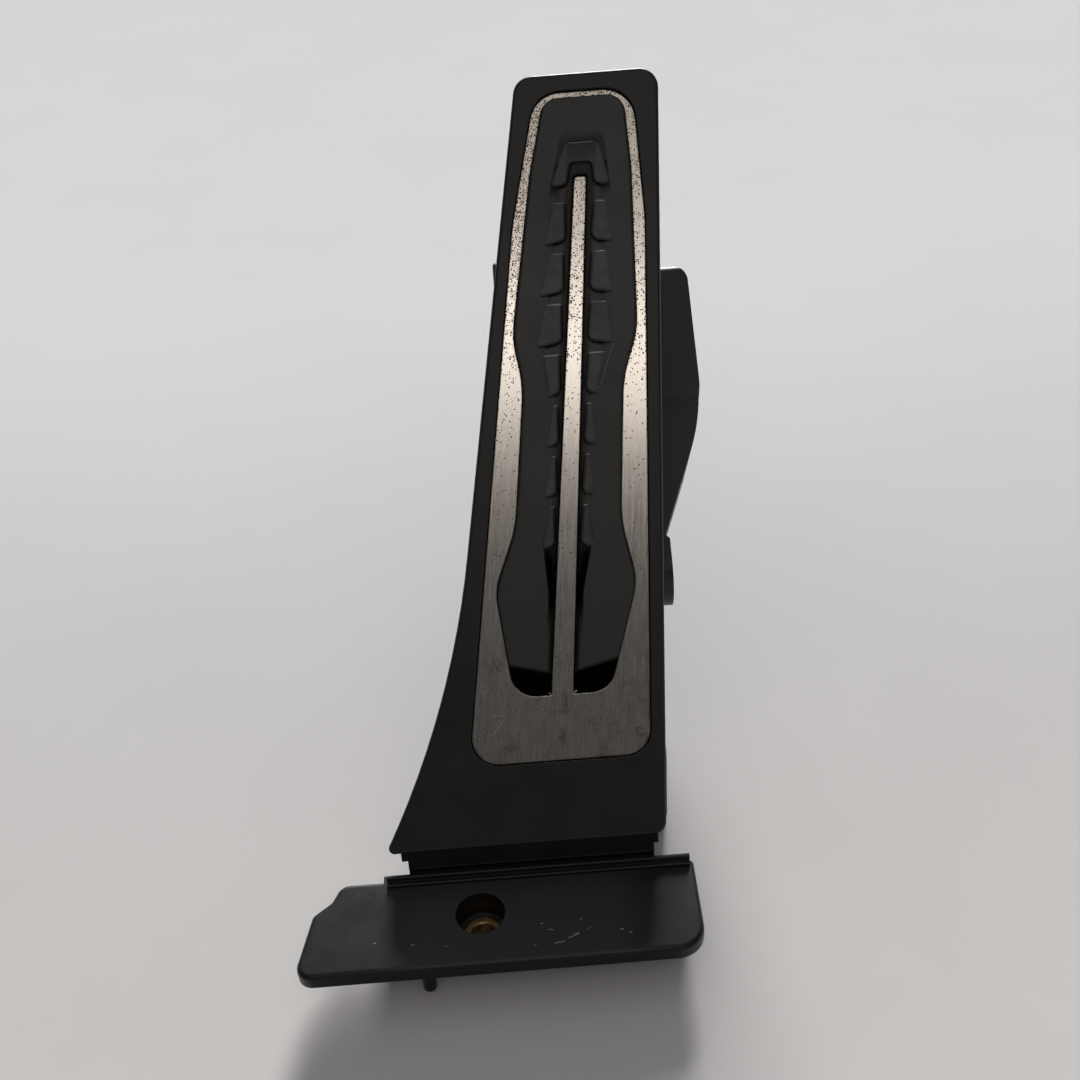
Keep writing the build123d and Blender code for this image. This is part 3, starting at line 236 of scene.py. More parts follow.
def make_scuff():
    """Mask of one short scuff from start to end, broken up along its length."""
    zero = (0.0, 0.0, 0.0)
    inputs = {"Place": zero, "Start": zero, "End": zero, "Width": 0.4, "Break": 2.0}
    sheet = Group("scuff", inputs, {"Mark": FLOAT})
    along = sheet.vector("SUBTRACT", sheet.given["End"], sheet.given["Start"])
    reach = sheet.vector("SUBTRACT", sheet.given["Place"], sheet.given["Start"])
    share = sheet.math("DIVIDE", sheet.dot(reach, along), sheet.dot(along, along), clamp=True)
    step = sheet.vector("MULTIPLY", along, sheet.join(share, share, share))
    apart = sheet.add("VectorMath", {0: reach, 1: step}, operation="DISTANCE").outputs["Value"]
    line = sheet.ramp(sheet.math("DIVIDE", apart, sheet.given["Width"]), 0.4, 1.0, 1.0, 0.0)
    patch = sheet.noise(sheet.given["Place"], sheet.given["Break"], 3.0, 0.7)
    return sheet.put(Mark=sheet.math("MULTIPLY", line, sheet.ramp(patch, 0.38, 0.56)))


def make_settled_dust():
    """Thin dust that lies on faces which look up, in drifts."""
    sheet = Group("settled_dust", {"Drift": 0.12}, {"Dust": FLOAT})
    facing = sheet.split(sheet.add("NewGeometry").outputs["Normal"])[2]
    drift = sheet.noise(sheet.local_mm(), sheet.given["Drift"], 5.0, 0.65)
    upward = sheet.ramp(facing, 0.5, 0.95)
    return sheet.put(Dust=sheet.math("MULTIPLY", upward, sheet.ramp(drift, 0.42, 0.75)))


def make_crevice_shade():
    """Painted shade: black in narrow gaps and inner corners, where little open space is within reach."""
    sheet = Group("crevice_shade", {"Reach": 0.0016}, {"Dark": FLOAT})
    open_sky = sheet.add("AmbientOcclusion", {"Distance": sheet.given["Reach"]}, samples=8).outputs["AO"]
    return sheet.put(Dark=sheet.ramp(open_sky, 0.72, 0.42))


pad_place = make_pad_place()
moulded_grain = make_moulded_grain()
edge_rub = make_edge_rub()
brushed_lines = make_brushed_lines()
pitting = make_pitting()
scuff = make_scuff()
settled_dust = make_settled_dust()
crevice_shade = make_crevice_shade()

# Finishes


def finish(name, **plain):
    """A new material with its Principled shader, plain values set on the shader's own sockets."""
    made = bpy.data.materials.new(name)
    made.use_nodes = True
    sheet = Sheet(made.node_tree)
    shader = made.node_tree.nodes["Principled BSDF"]
    for socket, value in plain.items():
        shader.inputs[socket.replace("_", " ")].default_value = value
    return made, sheet, shader.inputs


def bump(sheet, height, strength, distance, normal=None):
    inputs = {"Height": height, "Strength": strength, "Distance": distance}
    if normal is not None:
        inputs["Normal"] = normal
    return sheet.add("Bump", inputs).outputs["Normal"]


def black_plastic(name, dark, light, gloss, matt, grain=5.0, edge=0.0004, rub=0.35, dust=0.0, shine=0.36):
    """Moulded black plastic: dark and light are the ends of its colour, gloss and matt of its roughness."""
    made, sheet, shader = finish(name, Specular_IOR_Level=shine)
    moulded = sheet.place(moulded_grain, Grain=grain, Blotch=0.06)
    rubbed = sheet.place(edge_rub, Radius=edge, Patch=0.3)
    colour = sheet.mix(sheet.ramp(moulded["Blotches"], 0.3, 0.7), dark, light)
    worn = tuple(3.2 * part for part in light[:3]) + (1.0,)
    colour = sheet.mix(sheet.math("MULTIPLY", rubbed["Rubbed"], rub), colour, worn)
    if dust:
        lying = sheet.place(settled_dust, Drift=0.1)["Dust"]
        colour = sheet.mix(sheet.math("MULTIPLY", lying, dust), colour, (0.075, 0.066, 0.055, 1.0))
    sheet.feed(shader["Base Color"], colour)
    sheet.feed(shader["Roughness"], sheet.ramp(moulded["Blotches"], 0.25, 0.75, gloss, matt))
    sheet.feed(shader["Normal"], bump(sheet, moulded["Height"], 0.12, 0.00005, rubbed["Normal"]))
    return made, sheet, shader, colour


def grey(level, warm=0.0):
    return (level * (1 + warm), level, level * (1 - warm), 1.0)


def pad_plastic():
    """The pad: satin black, with painted shade in the gap round the trim."""
    made, sheet, shader, colour = black_plastic(
        "pad_plastic", grey(0.0042, 0.03), grey(0.0065, 0.03), 0.38, 0.46
    )
    # painted shade: near-black in the gap and pocket round the trim
    gap = sheet.place(crevice_shade, Reach=0.002)["Dark"]
    sheet.feed(shader["Base Color"], sheet.mix(gap, colour, grey(0.0006)))
    return made


# Wear of the foot and painted light on it, in millimetres in plan
PAINTED_LIGHT_MIDDLE = 10.0  # middle of the painted light on the foot's top, which lies in the pad's shadow
PAINTED_LIGHT_FADE = (44.0, 24.0)  # from its middle, no painted light and then full painted light
STRIP_DUST = (5.5, 10.5)  # towards the hinge strip, clean and then dusty
SCUFF_SHARE = 0.72  # of a scuff's width that is bare

# Scuffs on the top of the foot: start, end, half width
FOOT_SCUFFS = [
    ((20.6, -12.0, 0.0), (23.0, -11.7, 0.0), 0.45),
    ((24.4, -10.7, 0.0), (26.2, -9.9, 0.0), 0.4),
    ((25.8, -9.9, 0.0), (27.2, -9.3, 0.0), 0.65),
    ((17.0, -5.2, 0.0), (17.4, -5.2, 0.0), 0.4),
    ((19.0, -7.3, 0.0), (20.4, -7.7, 0.0), 0.3),
    ((28.0, -4.7, 0.0), (28.4, -4.7, 0.0), 0.35),
    ((29.8, -8.2, 0.0), (30.8, -7.5, 0.0), 0.3),
    ((39.1, -9.1, 0.0), (39.6, -9.1, 0.0), 0.55),
    ((41.5, -10.3, 0.0), (41.9, -10.2, 0.0), 0.5),
    ((14.9, -12.2, 0.0), (15.3, -12.2, 0.0), 0.3),
    ((-29.8, -7.6, 0.0), (-29.3, -7.6, 0.0), 0.4),
    ((-19.2, -9.1, 0.0), (-18.7, -9.1, 0.0), 0.5),
    ((-9.9, -10.3, 0.0), (-9.4, -10.3, 0.0), 0.3),
]


def foot_plastic():
    """The foot: painted light on the middle of its top, dust towards the hinge strip and pale scuffs from
    shoes.
    """
    made, sheet, shader, colour = black_plastic(
        "foot_plastic", grey(0.0045), grey(0.0065), 0.32, 0.4, grain=4.0, edge=0.0006, dust=0.06, shine=0.25
    )
    place = sheet.local_mm()
    facing = sheet.split(sheet.add("NewGeometry").outputs["Normal"])[2]
    from_middle = sheet.math("ABSOLUTE", sheet.math("SUBTRACT", sheet.split(place)[0], PAINTED_LIGHT_MIDDLE))
    # painted light: the upward faces lighter in the middle, where the pad shades the foot
    painted_light_spread = sheet.ramp(from_middle, *PAINTED_LIGHT_FADE, 0.0, 0.9)
    painted_light = sheet.math("MULTIPLY", sheet.ramp(facing, 0.6, 0.97), painted_light_spread)
    colour = sheet.mix(painted_light, colour, grey(0.032, -0.03))
    flat = sheet.vector("MULTIPLY", place, (1.0, 1.0, 0.0))
    near_strip = sheet.ramp(sheet.split(place)[1], *STRIP_DUST)
    patch = sheet.ramp(sheet.noise(place, 0.5, 4.0, 0.7), 0.45, 0.7)
    dusty = sheet.math("MULTIPLY", sheet.math("MULTIPLY", near_strip, patch), 0.5)
    colour = sheet.mix(dusty, colour, (0.035, 0.028, 0.022, 1.0))
    marks = 0.0
    for start, end, width in FOOT_SCUFFS:
        bare = SCUFF_SHARE * width
        mark = sheet.place(scuff, Place=flat, Start=start, End=end, Width=bare, Break=2.6)["Mark"]
        marks = sheet.math("MAXIMUM", marks, mark)
    colour = sheet.mix(marks, colour, (0.27, 0.25, 0.235, 1.0))
    sheet.feed(shader["Base Color"], colour)
    return made


# Wear of the trim, in millimetres across and up the pad, from clean to worn
TRIM_BROWNED = (85.0, 45.0)
TRIM_PITTED = (118.0, 188.0)
LEFT_BAND = (-8.0, -12.0)
LEFT_BAND_PITTED = (158.0, 190.0)

# Scratches on the trim: start, end, half width
TRIM_SCRATCHES = [
    ((-19.6, 42.7, 0.0), (-16.3, 42.5, 0.0), 0.3),
    ((-19.7, 37.2, 0.0), (-16.5, 41.5, 0.0), 0.22),
    ((-18.9, 38.2, 0.0), (-17.2, 40.8, 0.0), 0.2),
]

# Rust stains on the trim, in the same way
TRIM_STAINS = [
    ((-19.6, 58.0, 0.0), (-18.2, 56.3, 0.0), 1.5),
    ((-21.6, 57.0, 0.0), (-20.9, 55.6, 0.0), 0.9),
    ((0.6, 47.2, 0.0), (1.2, 42.6, 0.0), 1.5),
    ((0.4, 37.0, 0.0), (0.7, 33.5, 0.0), 1.2),
    ((22.4, 35.6, 0.0), (24.6, 33.0, 0.0), 1.6),
    ((25.2, 50.0, 0.0), (25.5, 38.0, 0.0), 0.8),
    ((-24.8, 33.4, 0.0), (-23.0, 30.9, 0.0), 0.9),
    ((-5.3, 40.2, 0.0), (-4.9, 37.6, 0.0), 0.4),
]


def trim_steel(name, edge_rust):
    """Brushed steel that has pitted along its upper bands and browned near the foot and at its edges."""
    made, sheet, shader = finish(name, Metallic=1.0)
    on_pad = sheet.place(pad_place)
    flat = sheet.vector("MULTIPLY", on_pad["Place"], (1.0, 1.0, 0.0))
    brushed = sheet.place(brushed_lines, Place=on_pad["Place"])
    dull, bright = (0.50, 0.46, 0.42, 1.0), (0.62, 0.575, 0.53, 1.0)
    colour = sheet.mix(sheet.ramp(brushed["Lines"], 0.25, 0.75), dull, bright)
    colour = sheet.mix(sheet.ramp(brushed["Bands"], 0.55, 0.8, 0.0, 0.35), colour, (0.33, 0.30, 0.27, 1.0))
    # brown drifts towards the foot
    drift = sheet.noise(flat, 0.11, 4.0, 0.6)
    low = sheet.ramp(on_pad["Up"], *TRIM_BROWNED)
    stain = sheet.math("MULTIPLY", sheet.ramp(drift, 0.5, 0.72), sheet.math("MULTIPLY", low, 0.55))
    colour = sheet.mix(stain, colour, (0.26, 0.17, 0.10, 1.0))
    # pits, dense at the head and along the left band
    patch = sheet.noise(flat, 0.08, 3.0, 0.6)
    height = sheet.ramp(on_pad["Up"], *TRIM_PITTED, 0.06, 0.66)
    left_band = sheet.ramp(on_pad["Across"], *LEFT_BAND)
    left = sheet.math("MULTIPLY", left_band, sheet.ramp(on_pad["Up"], *LEFT_BAND_PITTED, 0.0, 0.7))
    patchy = sheet.math("MULTIPLY", height, sheet.ramp(patch, 0.25, 0.75, 0.4, 1.5))
    density = sheet.math("ADD", patchy, left)
    fine = sheet.place(pitting, Place=flat, Cells=1.75, Density=density, Size=0.35)
    few = sheet.math("MULTIPLY", density, 0.55)
    coarse = sheet.place(pitting, Place=flat, Cells=0.75, Density=few, Size=0.17)
    pits = sheet.math("MAXIMUM", fine["Pits"], coarse["Pits"])
    halo = sheet.math("MULTIPLY", sheet.math("MAXIMUM", fine["Halo"], coarse["Halo"]), 0.35)
    colour = sheet.mix(halo, colour, (0.30, 0.22, 0.15, 1.0))
    colour = sheet.mix(pits, colour, (0.022, 0.015, 0.010, 1.0))
    # rust creeping in from the edges
    edge = sheet.place(edge_rub, Radius=0.0004, Patch=1.3)
    colour = sheet.mix(sheet.math("MULTIPLY", edge["Rubbed"], edge_rust), colour, (0.05, 0.031, 0.019, 1.0))
    stains = 0.0
    for start, end, width in TRIM_STAINS:
        mark = sheet.place(scuff, Place=flat, Start=start, End=end, Width=width, Break=0.7)["Mark"]
        stains = sheet.math("MAXIMUM", stains, mark)
    colour = sheet.mix(sheet.math("MULTIPLY", stains, 0.5), colour, (0.24, 0.12, 0.055, 1.0))
    marks = 0.0
    for start, end, width in TRIM_SCRATCHES:
        mark = sheet.place(scuff, Place=flat, Start=start, End=end, Width=width, Break=2.5)["Mark"]
        marks = sheet.math("MAXIMUM", marks, mark)
    colour = sheet.mix(marks, colour, (0.85, 0.83, 0.80, 1.0))
    sheet.feed(shader["Base Color"], colour)
    rough = sheet.ramp(brushed["Lines"], 0.2, 0.8, 0.17, 0.25)
    rough = sheet.math("ADD", rough, sheet.math("MULTIPLY", pits, 0.4), clamp=True)
    sheet.feed(shader["Roughness"], rough)
    sheet.feed(shader["Metallic"], sheet.math("SUBTRACT", 1.0, sheet.math("MULTIPLY", pits, 0.9)))
    lines = sheet.math("SUBTRACT", brushed["Lines"], sheet.math("MULTIPLY", pits, 2.0))
    sheet.feed(shader["Normal"], bump(sheet, lines, 0.10, 0.00008, edge["Normal"]))
    return made


# Levels of the insert ahead of the hinge, in millimetres: its front face and the floor of its channel
INSERT_FRONT = 6.8
CHANNEL_FLOOR = 5.5

# Ends of its features in millimetres, each from outside to inside: up the pad, or aside from its axis
SCALES_FOOT = (60.0, 75.0)
SCALES_SIDE = (11.6, 11.0)
SLOPE_SIDE = (12.8, 12.2)
SLOPE_HEAD = (193.0, 187.5)
PALE_HEAD = (212.0, 208.0)
CRESCENT_SHADE_HEAD = (199.5, 198.0)
TONGUE_SIDE = (4.8, 3.6)
LEGS_HEAD = (100.0, 85.0)
LEGS_TO_SCALES = (85.0, 98.0)
FEET_HEAD = (54.2, 52.4)
FEET_SLANT = 0.25  # rise of the feet's upper edge for each millimetre aside


def insert_rubber():
    """Satin rubber, with painted shade under its scales, beside the tongue, between the legs and at its
    feet, and a painted highlight on the scales' upper edges.
    """
    made, sheet, shader = finish("insert_rubber")
    on_pad = sheet.place(pad_place)
    up = on_pad["Up"]
    level = sheet.split(on_pad["Place"])[2]
    aside = sheet.math("ABSOLUTE", on_pad["Across"])
    moulded = sheet.place(moulded_grain, Grain=3.2, Blotch=0.05)
    rubbed = sheet.place(edge_rub, Radius=0.00045, Patch=0.25)
    colour = sheet.mix(sheet.ramp(moulded["Blotches"], 0.3, 0.7), grey(0.0075), grey(0.0115, 0.03))
    in_scales = sheet.math("MULTIPLY", sheet.ramp(up, *SCALES_FOOT), sheet.ramp(aside, *SCALES_SIDE))
    # outer slopes of the channel, which run out into the front face
    face = sheet.turn(sheet.add("NewGeometry").outputs["True Normal"], "WORLD", "OBJECT")
    sideways = sheet.ramp(sheet.math("ABSOLUTE", sheet.split(face)[0]), 0.25, 0.38)
    slope = sheet.math("MULTIPLY", sideways, sheet.ramp(sheet.dot(face, OFF_PAD), 0.7, 0.8))
    below_hoof = sheet.ramp(up, *SLOPE_HEAD, 0.3, 1.0)
    in_channel = sheet.math("MULTIPLY", below_hoof, sheet.ramp(aside, *SLOPE_SIDE))
    slope = sheet.math("MULTIPLY", slope, in_channel)
    off_slope = sheet.math("SUBTRACT", 1.0, slope)
    # painted highlight: pale upper edges of the scales, where they face up the pad
    rounded = sheet.turn(rubbed["Normal"], "WORLD", "OBJECT")
    facing_up = sheet.ramp(sheet.dot(rounded, UP_PAD), 0.05, 0.2)
    # patches of noise that break up the painted highlight
    worn = sheet.ramp(sheet.noise(on_pad["Place"], 0.35, 3.0, 0.6), 0.3, 0.6, 0.3, 1.0)
    highlight_edge = sheet.math("MULTIPLY", facing_up, in_scales)
    pale = sheet.math("MULTIPLY", highlight_edge, sheet.math("MULTIPLY", worn, off_slope))
    pale = sheet.math("MULTIPLY", pale, sheet.ramp(up, *PALE_HEAD))
    colour = sheet.mix(pale, colour, grey(0.42))
    # painted shade: black crescents along the lower and inner edges of the scales
    broad = sheet.turn(sheet.place(edge_rub, Radius=0.0013)["Normal"], "WORLD", "OBJECT")
    downward = sheet.ramp(sheet.dot(broad, UP_PAD), -0.09, -0.2)
    side = sheet.math("SIGN", on_pad["Across"])
    inward = sheet.ramp(sheet.math("MULTIPLY", sheet.split(broad)[0], side), -0.16, -0.34)
    crescent_shade = sheet.math("MULTIPLY", sheet.math("MAXIMUM", downward, inward), in_scales)
    crescent_shade = sheet.math("MULTIPLY", crescent_shade, sheet.ramp(level, INSERT_FRONT, INSERT_FRONT - 0.04))
    crescent_shade = sheet.math("MULTIPLY", crescent_shade, sheet.ramp(up, *CRESCENT_SHADE_HEAD))
    # painted shade: black strip beside the tongue, dark floor between the legs and black feet
    deep = sheet.ramp(level, INSERT_FRONT - 0.2, CHANNEL_FLOOR + 0.3)
    strip = sheet.math("MULTIPLY", deep, sheet.ramp(aside, *TONGUE_SIDE, 0.0, 0.5))
    beside_legs = sheet.ramp(level, INSERT_FRONT - 0.1, CHANNEL_FLOOR + 0.6)
    between = sheet.math("MULTIPLY", beside_legs, sheet.ramp(up, *LEGS_HEAD, 0.0, 0.8))
    foot = sheet.ramp(sheet.math("SUBTRACT", up, sheet.math("MULTIPLY", aside, FEET_SLANT)), *FEET_HEAD)
    # painted shade in narrow inner corners
    corner = sheet.place(crevice_shade, Reach=0.0016)["Dark"]
    shade_under_scales = sheet.math("MAXIMUM", crescent_shade, corner)
    dark = sheet.math("MAXIMUM", shade_under_scales, sheet.math("MAXIMUM", strip, between))
    on_slope = sheet.math("MULTIPLY", slope, sheet.ramp(up, *LEGS_TO_SCALES))
    dark = sheet.math("MULTIPLY", dark, sheet.math("SUBTRACT", 1.0, on_slope))
    dark = sheet.math("MAXIMUM", dark, foot)
    # all the painted shade goes on as near-black
    colour = sheet.mix(dark, colour, grey(0.0007))
    sheet.feed(shader["Base Color"], colour)
    rough = sheet.ramp(moulded["Blotches"], 0.25, 0.75, 0.40, 0.52)
    sheet.feed(shader["Roughness"], sheet.math("MAXIMUM", rough, sheet.math("MULTIPLY", dark, 0.95)))
    # the painted shade is made rough and metallic as well, so that it gives back no light
    sheet.feed(shader["Metallic"], sheet.math("MULTIPLY", dark, 0.95))
    flat = sheet.turn(OFF_PAD, "OBJECT", "WORLD")
    facing_out = sheet.ramp(sheet.dot(face, OFF_PAD), 0.98, 0.995, 0.0, 0.75)
    level_top = sheet.math("MULTIPLY", facing_out, in_scales)
    normal = sheet.mix_vector(sheet.math("MAXIMUM", slope, level_top), rubbed["Normal"], flat)
    sheet.feed(shader["Normal"], bump(sheet, moulded["Height"], 0.15, 0.00006, normal))
    return made


def plain_metal(name, dark, light, gloss, matt, brown=0.0):
    """Metal with a drawn or turned look, and brown tarnish where it has any."""
    made, sheet, shader = finish(name, Metallic=1.0)
    moulded = sheet.place(moulded_grain, Grain=2.5, Blotch=0.35)
    rubbed = sheet.place(edge_rub, Radius=0.0003, Patch=0.8)
    colour = sheet.mix(sheet.ramp(moulded["Height"], 0.3, 0.7), dark, light)
    if brown:
        tarnish = sheet.math("MULTIPLY", sheet.ramp(moulded["Blotches"], 0.4, 0.65), brown)
        colour = sheet.mix(tarnish, colour, (0.12, 0.075, 0.035, 1.0))
    sheet.feed(shader["Base Color"], colour)
    sheet.feed(shader["Roughness"], sheet.ramp(moulded["Blotches"], 0.3, 0.7, gloss, matt))
    sheet.feed(shader["Normal"], bump(sheet, moulded["Height"], 0.08, 0.00004, rubbed["Normal"]))
    return made


def pale_plastic():
    """Natural slippery plastic of the bearings, with grey smears of wear."""
    depth = (0.002, 0.002, 0.002)
    made, sheet, shader = finish("bearing_plastic", Subsurface_Weight=0.08, Subsurface_Radius=depth)
    moulded = sheet.place(moulded_grain, Grain=3.0, Blotch=0.2)
    rubbed = sheet.place(edge_rub, Radius=0.0004, Patch=0.5)
    clean, smeared = (0.66, 0.64, 0.58, 1.0), (0.45, 0.43, 0.39, 1.0)
    colour = sheet.mix(sheet.ramp(moulded["Blotches"], 0.45, 0.75), clean, smeared)
    sheet.feed(shader["Base Color"], colour)
    sheet.feed(shader["Roughness"], sheet.ramp(moulded["Height"], 0.3, 0.7, 0.3, 0.42))
    sheet.feed(shader["Normal"], bump(sheet, moulded["Height"], 0.1, 0.00005, rubbed["Normal"]))
    return made


def circuit_board():
    """Green solder mask over copper tracks."""
    made, sheet, shader = finish("board")
    place = sheet.local_mm()
    tracks = sheet.add("TexBrick", {"Vector": place, "Scale": 0.35, "Mortar Size": 0.03}).outputs[1]
    weave = sheet.noise(place, 1.5, 2.0)
    colour = sheet.mix(sheet.ramp(weave, 0.3, 0.7), (0.012, 0.085, 0.035, 1.0), (0.018, 0.115, 0.05, 1.0))
    colour = sheet.mix(sheet.math("MULTIPLY", tracks, 0.5), colour, (0.05, 0.2, 0.09, 1.0))
    sheet.feed(shader["Base Color"], colour)
    sheet.feed(shader["Roughness"], sheet.ramp(weave, 0.3, 0.7, 0.22, 0.34))
    sheet.feed(shader["Normal"], bump(sheet, tracks, 0.2, 0.00004))
    return made


filled_black = (grey(0.017, -0.04), grey(0.023, -0.04))
dull_brass = ((0.42, 0.27, 0.12, 1.0), (0.60, 0.42, 0.20, 1.0))
tinned_brass = ((0.55, 0.5, 0.38, 1.0), (0.68, 0.63, 0.5, 1.0))
finishes = {
    "foot_plastic": foot_plastic(),
    "pad_plastic": pad_plastic(),
    "housing_plastic": black_plastic("housing_plastic", *filled_black, 0.4, 0.5, grain=3.0)[0],
    "cover_plastic": black_plastic("cover_plastic", *filled_black, 0.38, 0.48, grain=3.5)[0],
    "bearing_plastic": pale_plastic(),
    "sleeve_brass": plain_metal("sleeve_brass", *dull_brass, 0.3, 0.5, 0.7),
    "trim_steel": trim_steel("trim_steel", 0.9),
    "insert_rubber": insert_rubber(),
    "spring_steel": plain_metal("spring_steel", grey(0.34), grey(0.46), 0.25, 0.4, 0.1),
    "screw_steel": plain_metal("screw_steel", grey(0.45, 0.02), grey(0.6, 0.02), 0.28, 0.42, 0.2),
    "axle_steel": plain_metal("axle_steel", grey(0.52), grey(0.62), 0.18, 0.28),
    "rotor_metal": plain_metal("rotor_metal", grey(0.6), grey(0.7), 0.25, 0.36),
    "gasket_rubber": black_plastic("gasket_rubber", grey(0.02), grey(0.028), 0.6, 0.75, grain=2.0)[0],
    "board": circuit_board(),
    "terminal_metal": plain_metal("terminal_metal", *tinned_brass, 0.2, 0.35),
}
for piece in cad.values():
    for place in piece.material_slots:
        place.material = finishes[place.material.name.split(".")[0]]

# Springs of round wire in place of the plain ones


def wire_mesh(name, foot, upright, length, coil_radius, wire_radius, turns):
    """A coil of round wire whose ends lie flat, standing on foot along upright."""
    steps_per_turn = 40
    sides = 14
    flat_turns = 0.75
    even_rise = 0.85
    side_x = Vector((1, 0, 0))
    side_y = upright.cross(side_x)
    steps = round(turns * steps_per_turn)
    rise = length - 2 * wire_radius
    points = []
    for step in range(steps + 1):
        turn = step / steps_per_turn
        share = (turn - flat_turns) / (turns - 2 * flat_turns)
        share = min(max(share, 0.0), 1.0)
        easing = share * share * (3 - 2 * share)
        lift = wire_radius + rise * (even_rise * share + (1 - even_rise) * easing)
        angle = 2 * pi * turn
        points.append(foot + upright * lift + (side_x * cos(angle) + side_y * sin(angle)) * coil_radius)
    rings = []
    for index, point in enumerate(points):
        ahead = points[min(index + 1, steps)] - points[max(index - 1, 0)]
        out = (point - foot) - upright * (point - foot).dot(upright)
        out = (out - ahead.normalized() * out.dot(ahead.normalized())).normalized()
        over = ahead.normalized().cross(out)
        for side in range(sides):
            angle = 2 * pi * side / sides
            rings.append(point + (out * cos(angle) + over * sin(angle)) * wire_radius)
    faces = []
    for ring in range(steps):
        for side in range(sides):
            low = ring * sides
            following = (side + 1) % sides
            faces.append((low + side, low + following, low + sides + following, low + sides + side))
    faces.append(tuple(reversed(range(sides))))
    faces.append(tuple(range(steps * sides, (steps + 1) * sides)))
    mesh = bpy.data.meshes.new(name)
    mesh.from_pydata([tuple(point) for point in rings], [], faces)
    mesh.polygons.foreach_set("use_smooth", [True] * (len(faces) - 2) + [False] * 2)
    mesh.materials.append(finishes["spring_steel"])
    made = bpy.data.objects.new(name, mesh)
    bpy.context.scene.collection.objects.link(made)
    return made


def wind(name, node, joint, foot, upright, length, sink, keep, coil_radius, wire_radius, turns):
    """A wound spring that stands in for a CAD node, fixed to the module base at one length; joint, sink and
    keep are not used.
    """
    spring = wire_mesh(name, foot, upright, length, coil_radius, wire_radius, turns)
    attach(spring, "module_base")
    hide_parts(node)
    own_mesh(spring)


CUP_SWING = Vector((0, 0.0020, 0.0137)).normalized()  # way of the cup back from full travel
SPRING_LEFT = 0.672  # share of the return springs' length left at full travel
KICK_LENGTH = 0.0122  # of the kick-down spring at rest
KICK_LEFT = 0.73  # of that length with the plunger pressed in
low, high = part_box("outer_spring")
spring_foot = Vector(((low.x + high.x) / 2, (low.y + high.y) / 2, low.z))
spring_length = high.z - low.z
straight_up = Vector((0, 0, 1))
returning = ("lever_pivot", spring_foot, straight_up, spring_length, CUP_SWING, SPRING_LEFT)
wind("outer_wire", "outer_spring", *returning, coil_radius=0.0082, wire_radius=0.0010, turns=5)
wind("inner_wire", "inner_spring", *returning, coil_radius=0.0050, wire_radius=0.0007, turns=6)
kick_out = -Vector(joints["kickdown_slide"]["axis"]).normalized()
low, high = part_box("kickdown_spring")
kick_foot = (low + high) / 2 - kick_out * KICK_LENGTH / 2
kicking = ("kickdown_slide", kick_foot, kick_out, KICK_LENGTH, kick_out, KICK_LEFT)
wind("kickdown_wire", "kickdown_spring", *kicking, coil_radius=0.0034, wire_radius=0.0005, turns=4)

# Rounded corners of the trim where its tongue meets the foot, in millimetres on the pad
TRIM_LEVELS = (3.7, 4.7)  # back and front of the steel ahead of the hinge
CUTOUT_FOOT = 47.4
TONGUE_HALF = 3.117  # half width of the tongue there
TONGUE_TAPER = 0.01033  # narrowing of half the tongue for each millimetre up
CORNER_RADIUS = 2.3


def corner_outline(side):
    """Points across and up the pad of the steel that rounds one corner: the corner itself, then its arc."""
    axis = TRIM_AXIS_X * MM_PER_M + CUTOUT_FOOT * TRIM_LEAN
    corner = Vector((axis + side * TONGUE_HALF, CUTOUT_FOOT))
    along_tongue = Vector((TRIM_LEAN - side * TONGUE_TAPER, 1.0)).normalized()
    along_foot = Vector((side, 0.0))
    between = along_tongue.angle(along_foot)
    reach = CORNER_RADIUS / tan(between / 2)
    centre = corner + (along_tongue + along_foot).normalized() * CORNER_RADIUS / sin(between / 2)
    first = corner + along_tongue * reach - centre
    last = corner + along_foot * reach - centre
    steps = 12
    arc = [first.slerp(last, step / steps) + centre for step in range(steps + 1)]
    return [corner] + arc


def trim_corners():
    """Both corners as one piece of the trim's thickness."""
    points = []
    faces = []
    for side in (-1, 1):
        outline = corner_outline(side)
        count = len(outline)
        start = len(points)
        for level in TRIM_LEVELS:
            for x, up in outline:
                place = HINGE + (UP_PAD * up + OFF_PAD * level) / MM_PER_M
                points.append((x / MM_PER_M, place.y, place.z))
        back = list(range(start, start + count))
        front = list(range(start + count, start + 2 * count))
        if side < 0:
            front.reverse()
        else:
            back.reverse()
        faces.append(back)
        faces.append(front)
        for step in range(count):
            following = (step + 1) % count
            wall = [start + step, start + following, start + count + following, start + count + step]
            faces.append(wall if side > 0 else wall[::-1])
    mesh = bpy.data.meshes.new("trim_corners")
    mesh.from_pydata(points, [], faces)
    mesh.materials.append(trim_steel("corner_steel", 0.0))
    corners = bpy.data.objects.new("trim_corners", mesh)
    bpy.context.scene.collection.objects.link(corners)
    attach(corners, "pedal")


trim_corners()

# Floor, light and camera


def floor_finish():
    """Pale floor, cooler and lighter towards the back."""
    made, sheet, shader = finish("pale_floor", Specular_IOR_Level=0.0)
    place = sheet.add("NewGeometry").outputs["Position"]
    back = sheet.ramp(sheet.split(place)[1], 0.02, 0.45)
    mottle = sheet.noise(place, 9.0, 4.0, 0.6)
    near_colour = sheet.mix(mottle, (0.56, 0.55, 0.545, 1.0), (0.62, 0.61, 0.605, 1.0))
    far_colour = sheet.mix(mottle, (0.70, 0.71, 0.73, 1.0), (0.75, 0.76, 0.78, 1.0))
    sheet.feed(shader["Base Color"], sheet.mix(back, near_colour, far_colour))
    sheet.feed(shader["Roughness"], sheet.ramp(mottle, 0.3, 0.7, 0.6, 0.7))
    return made


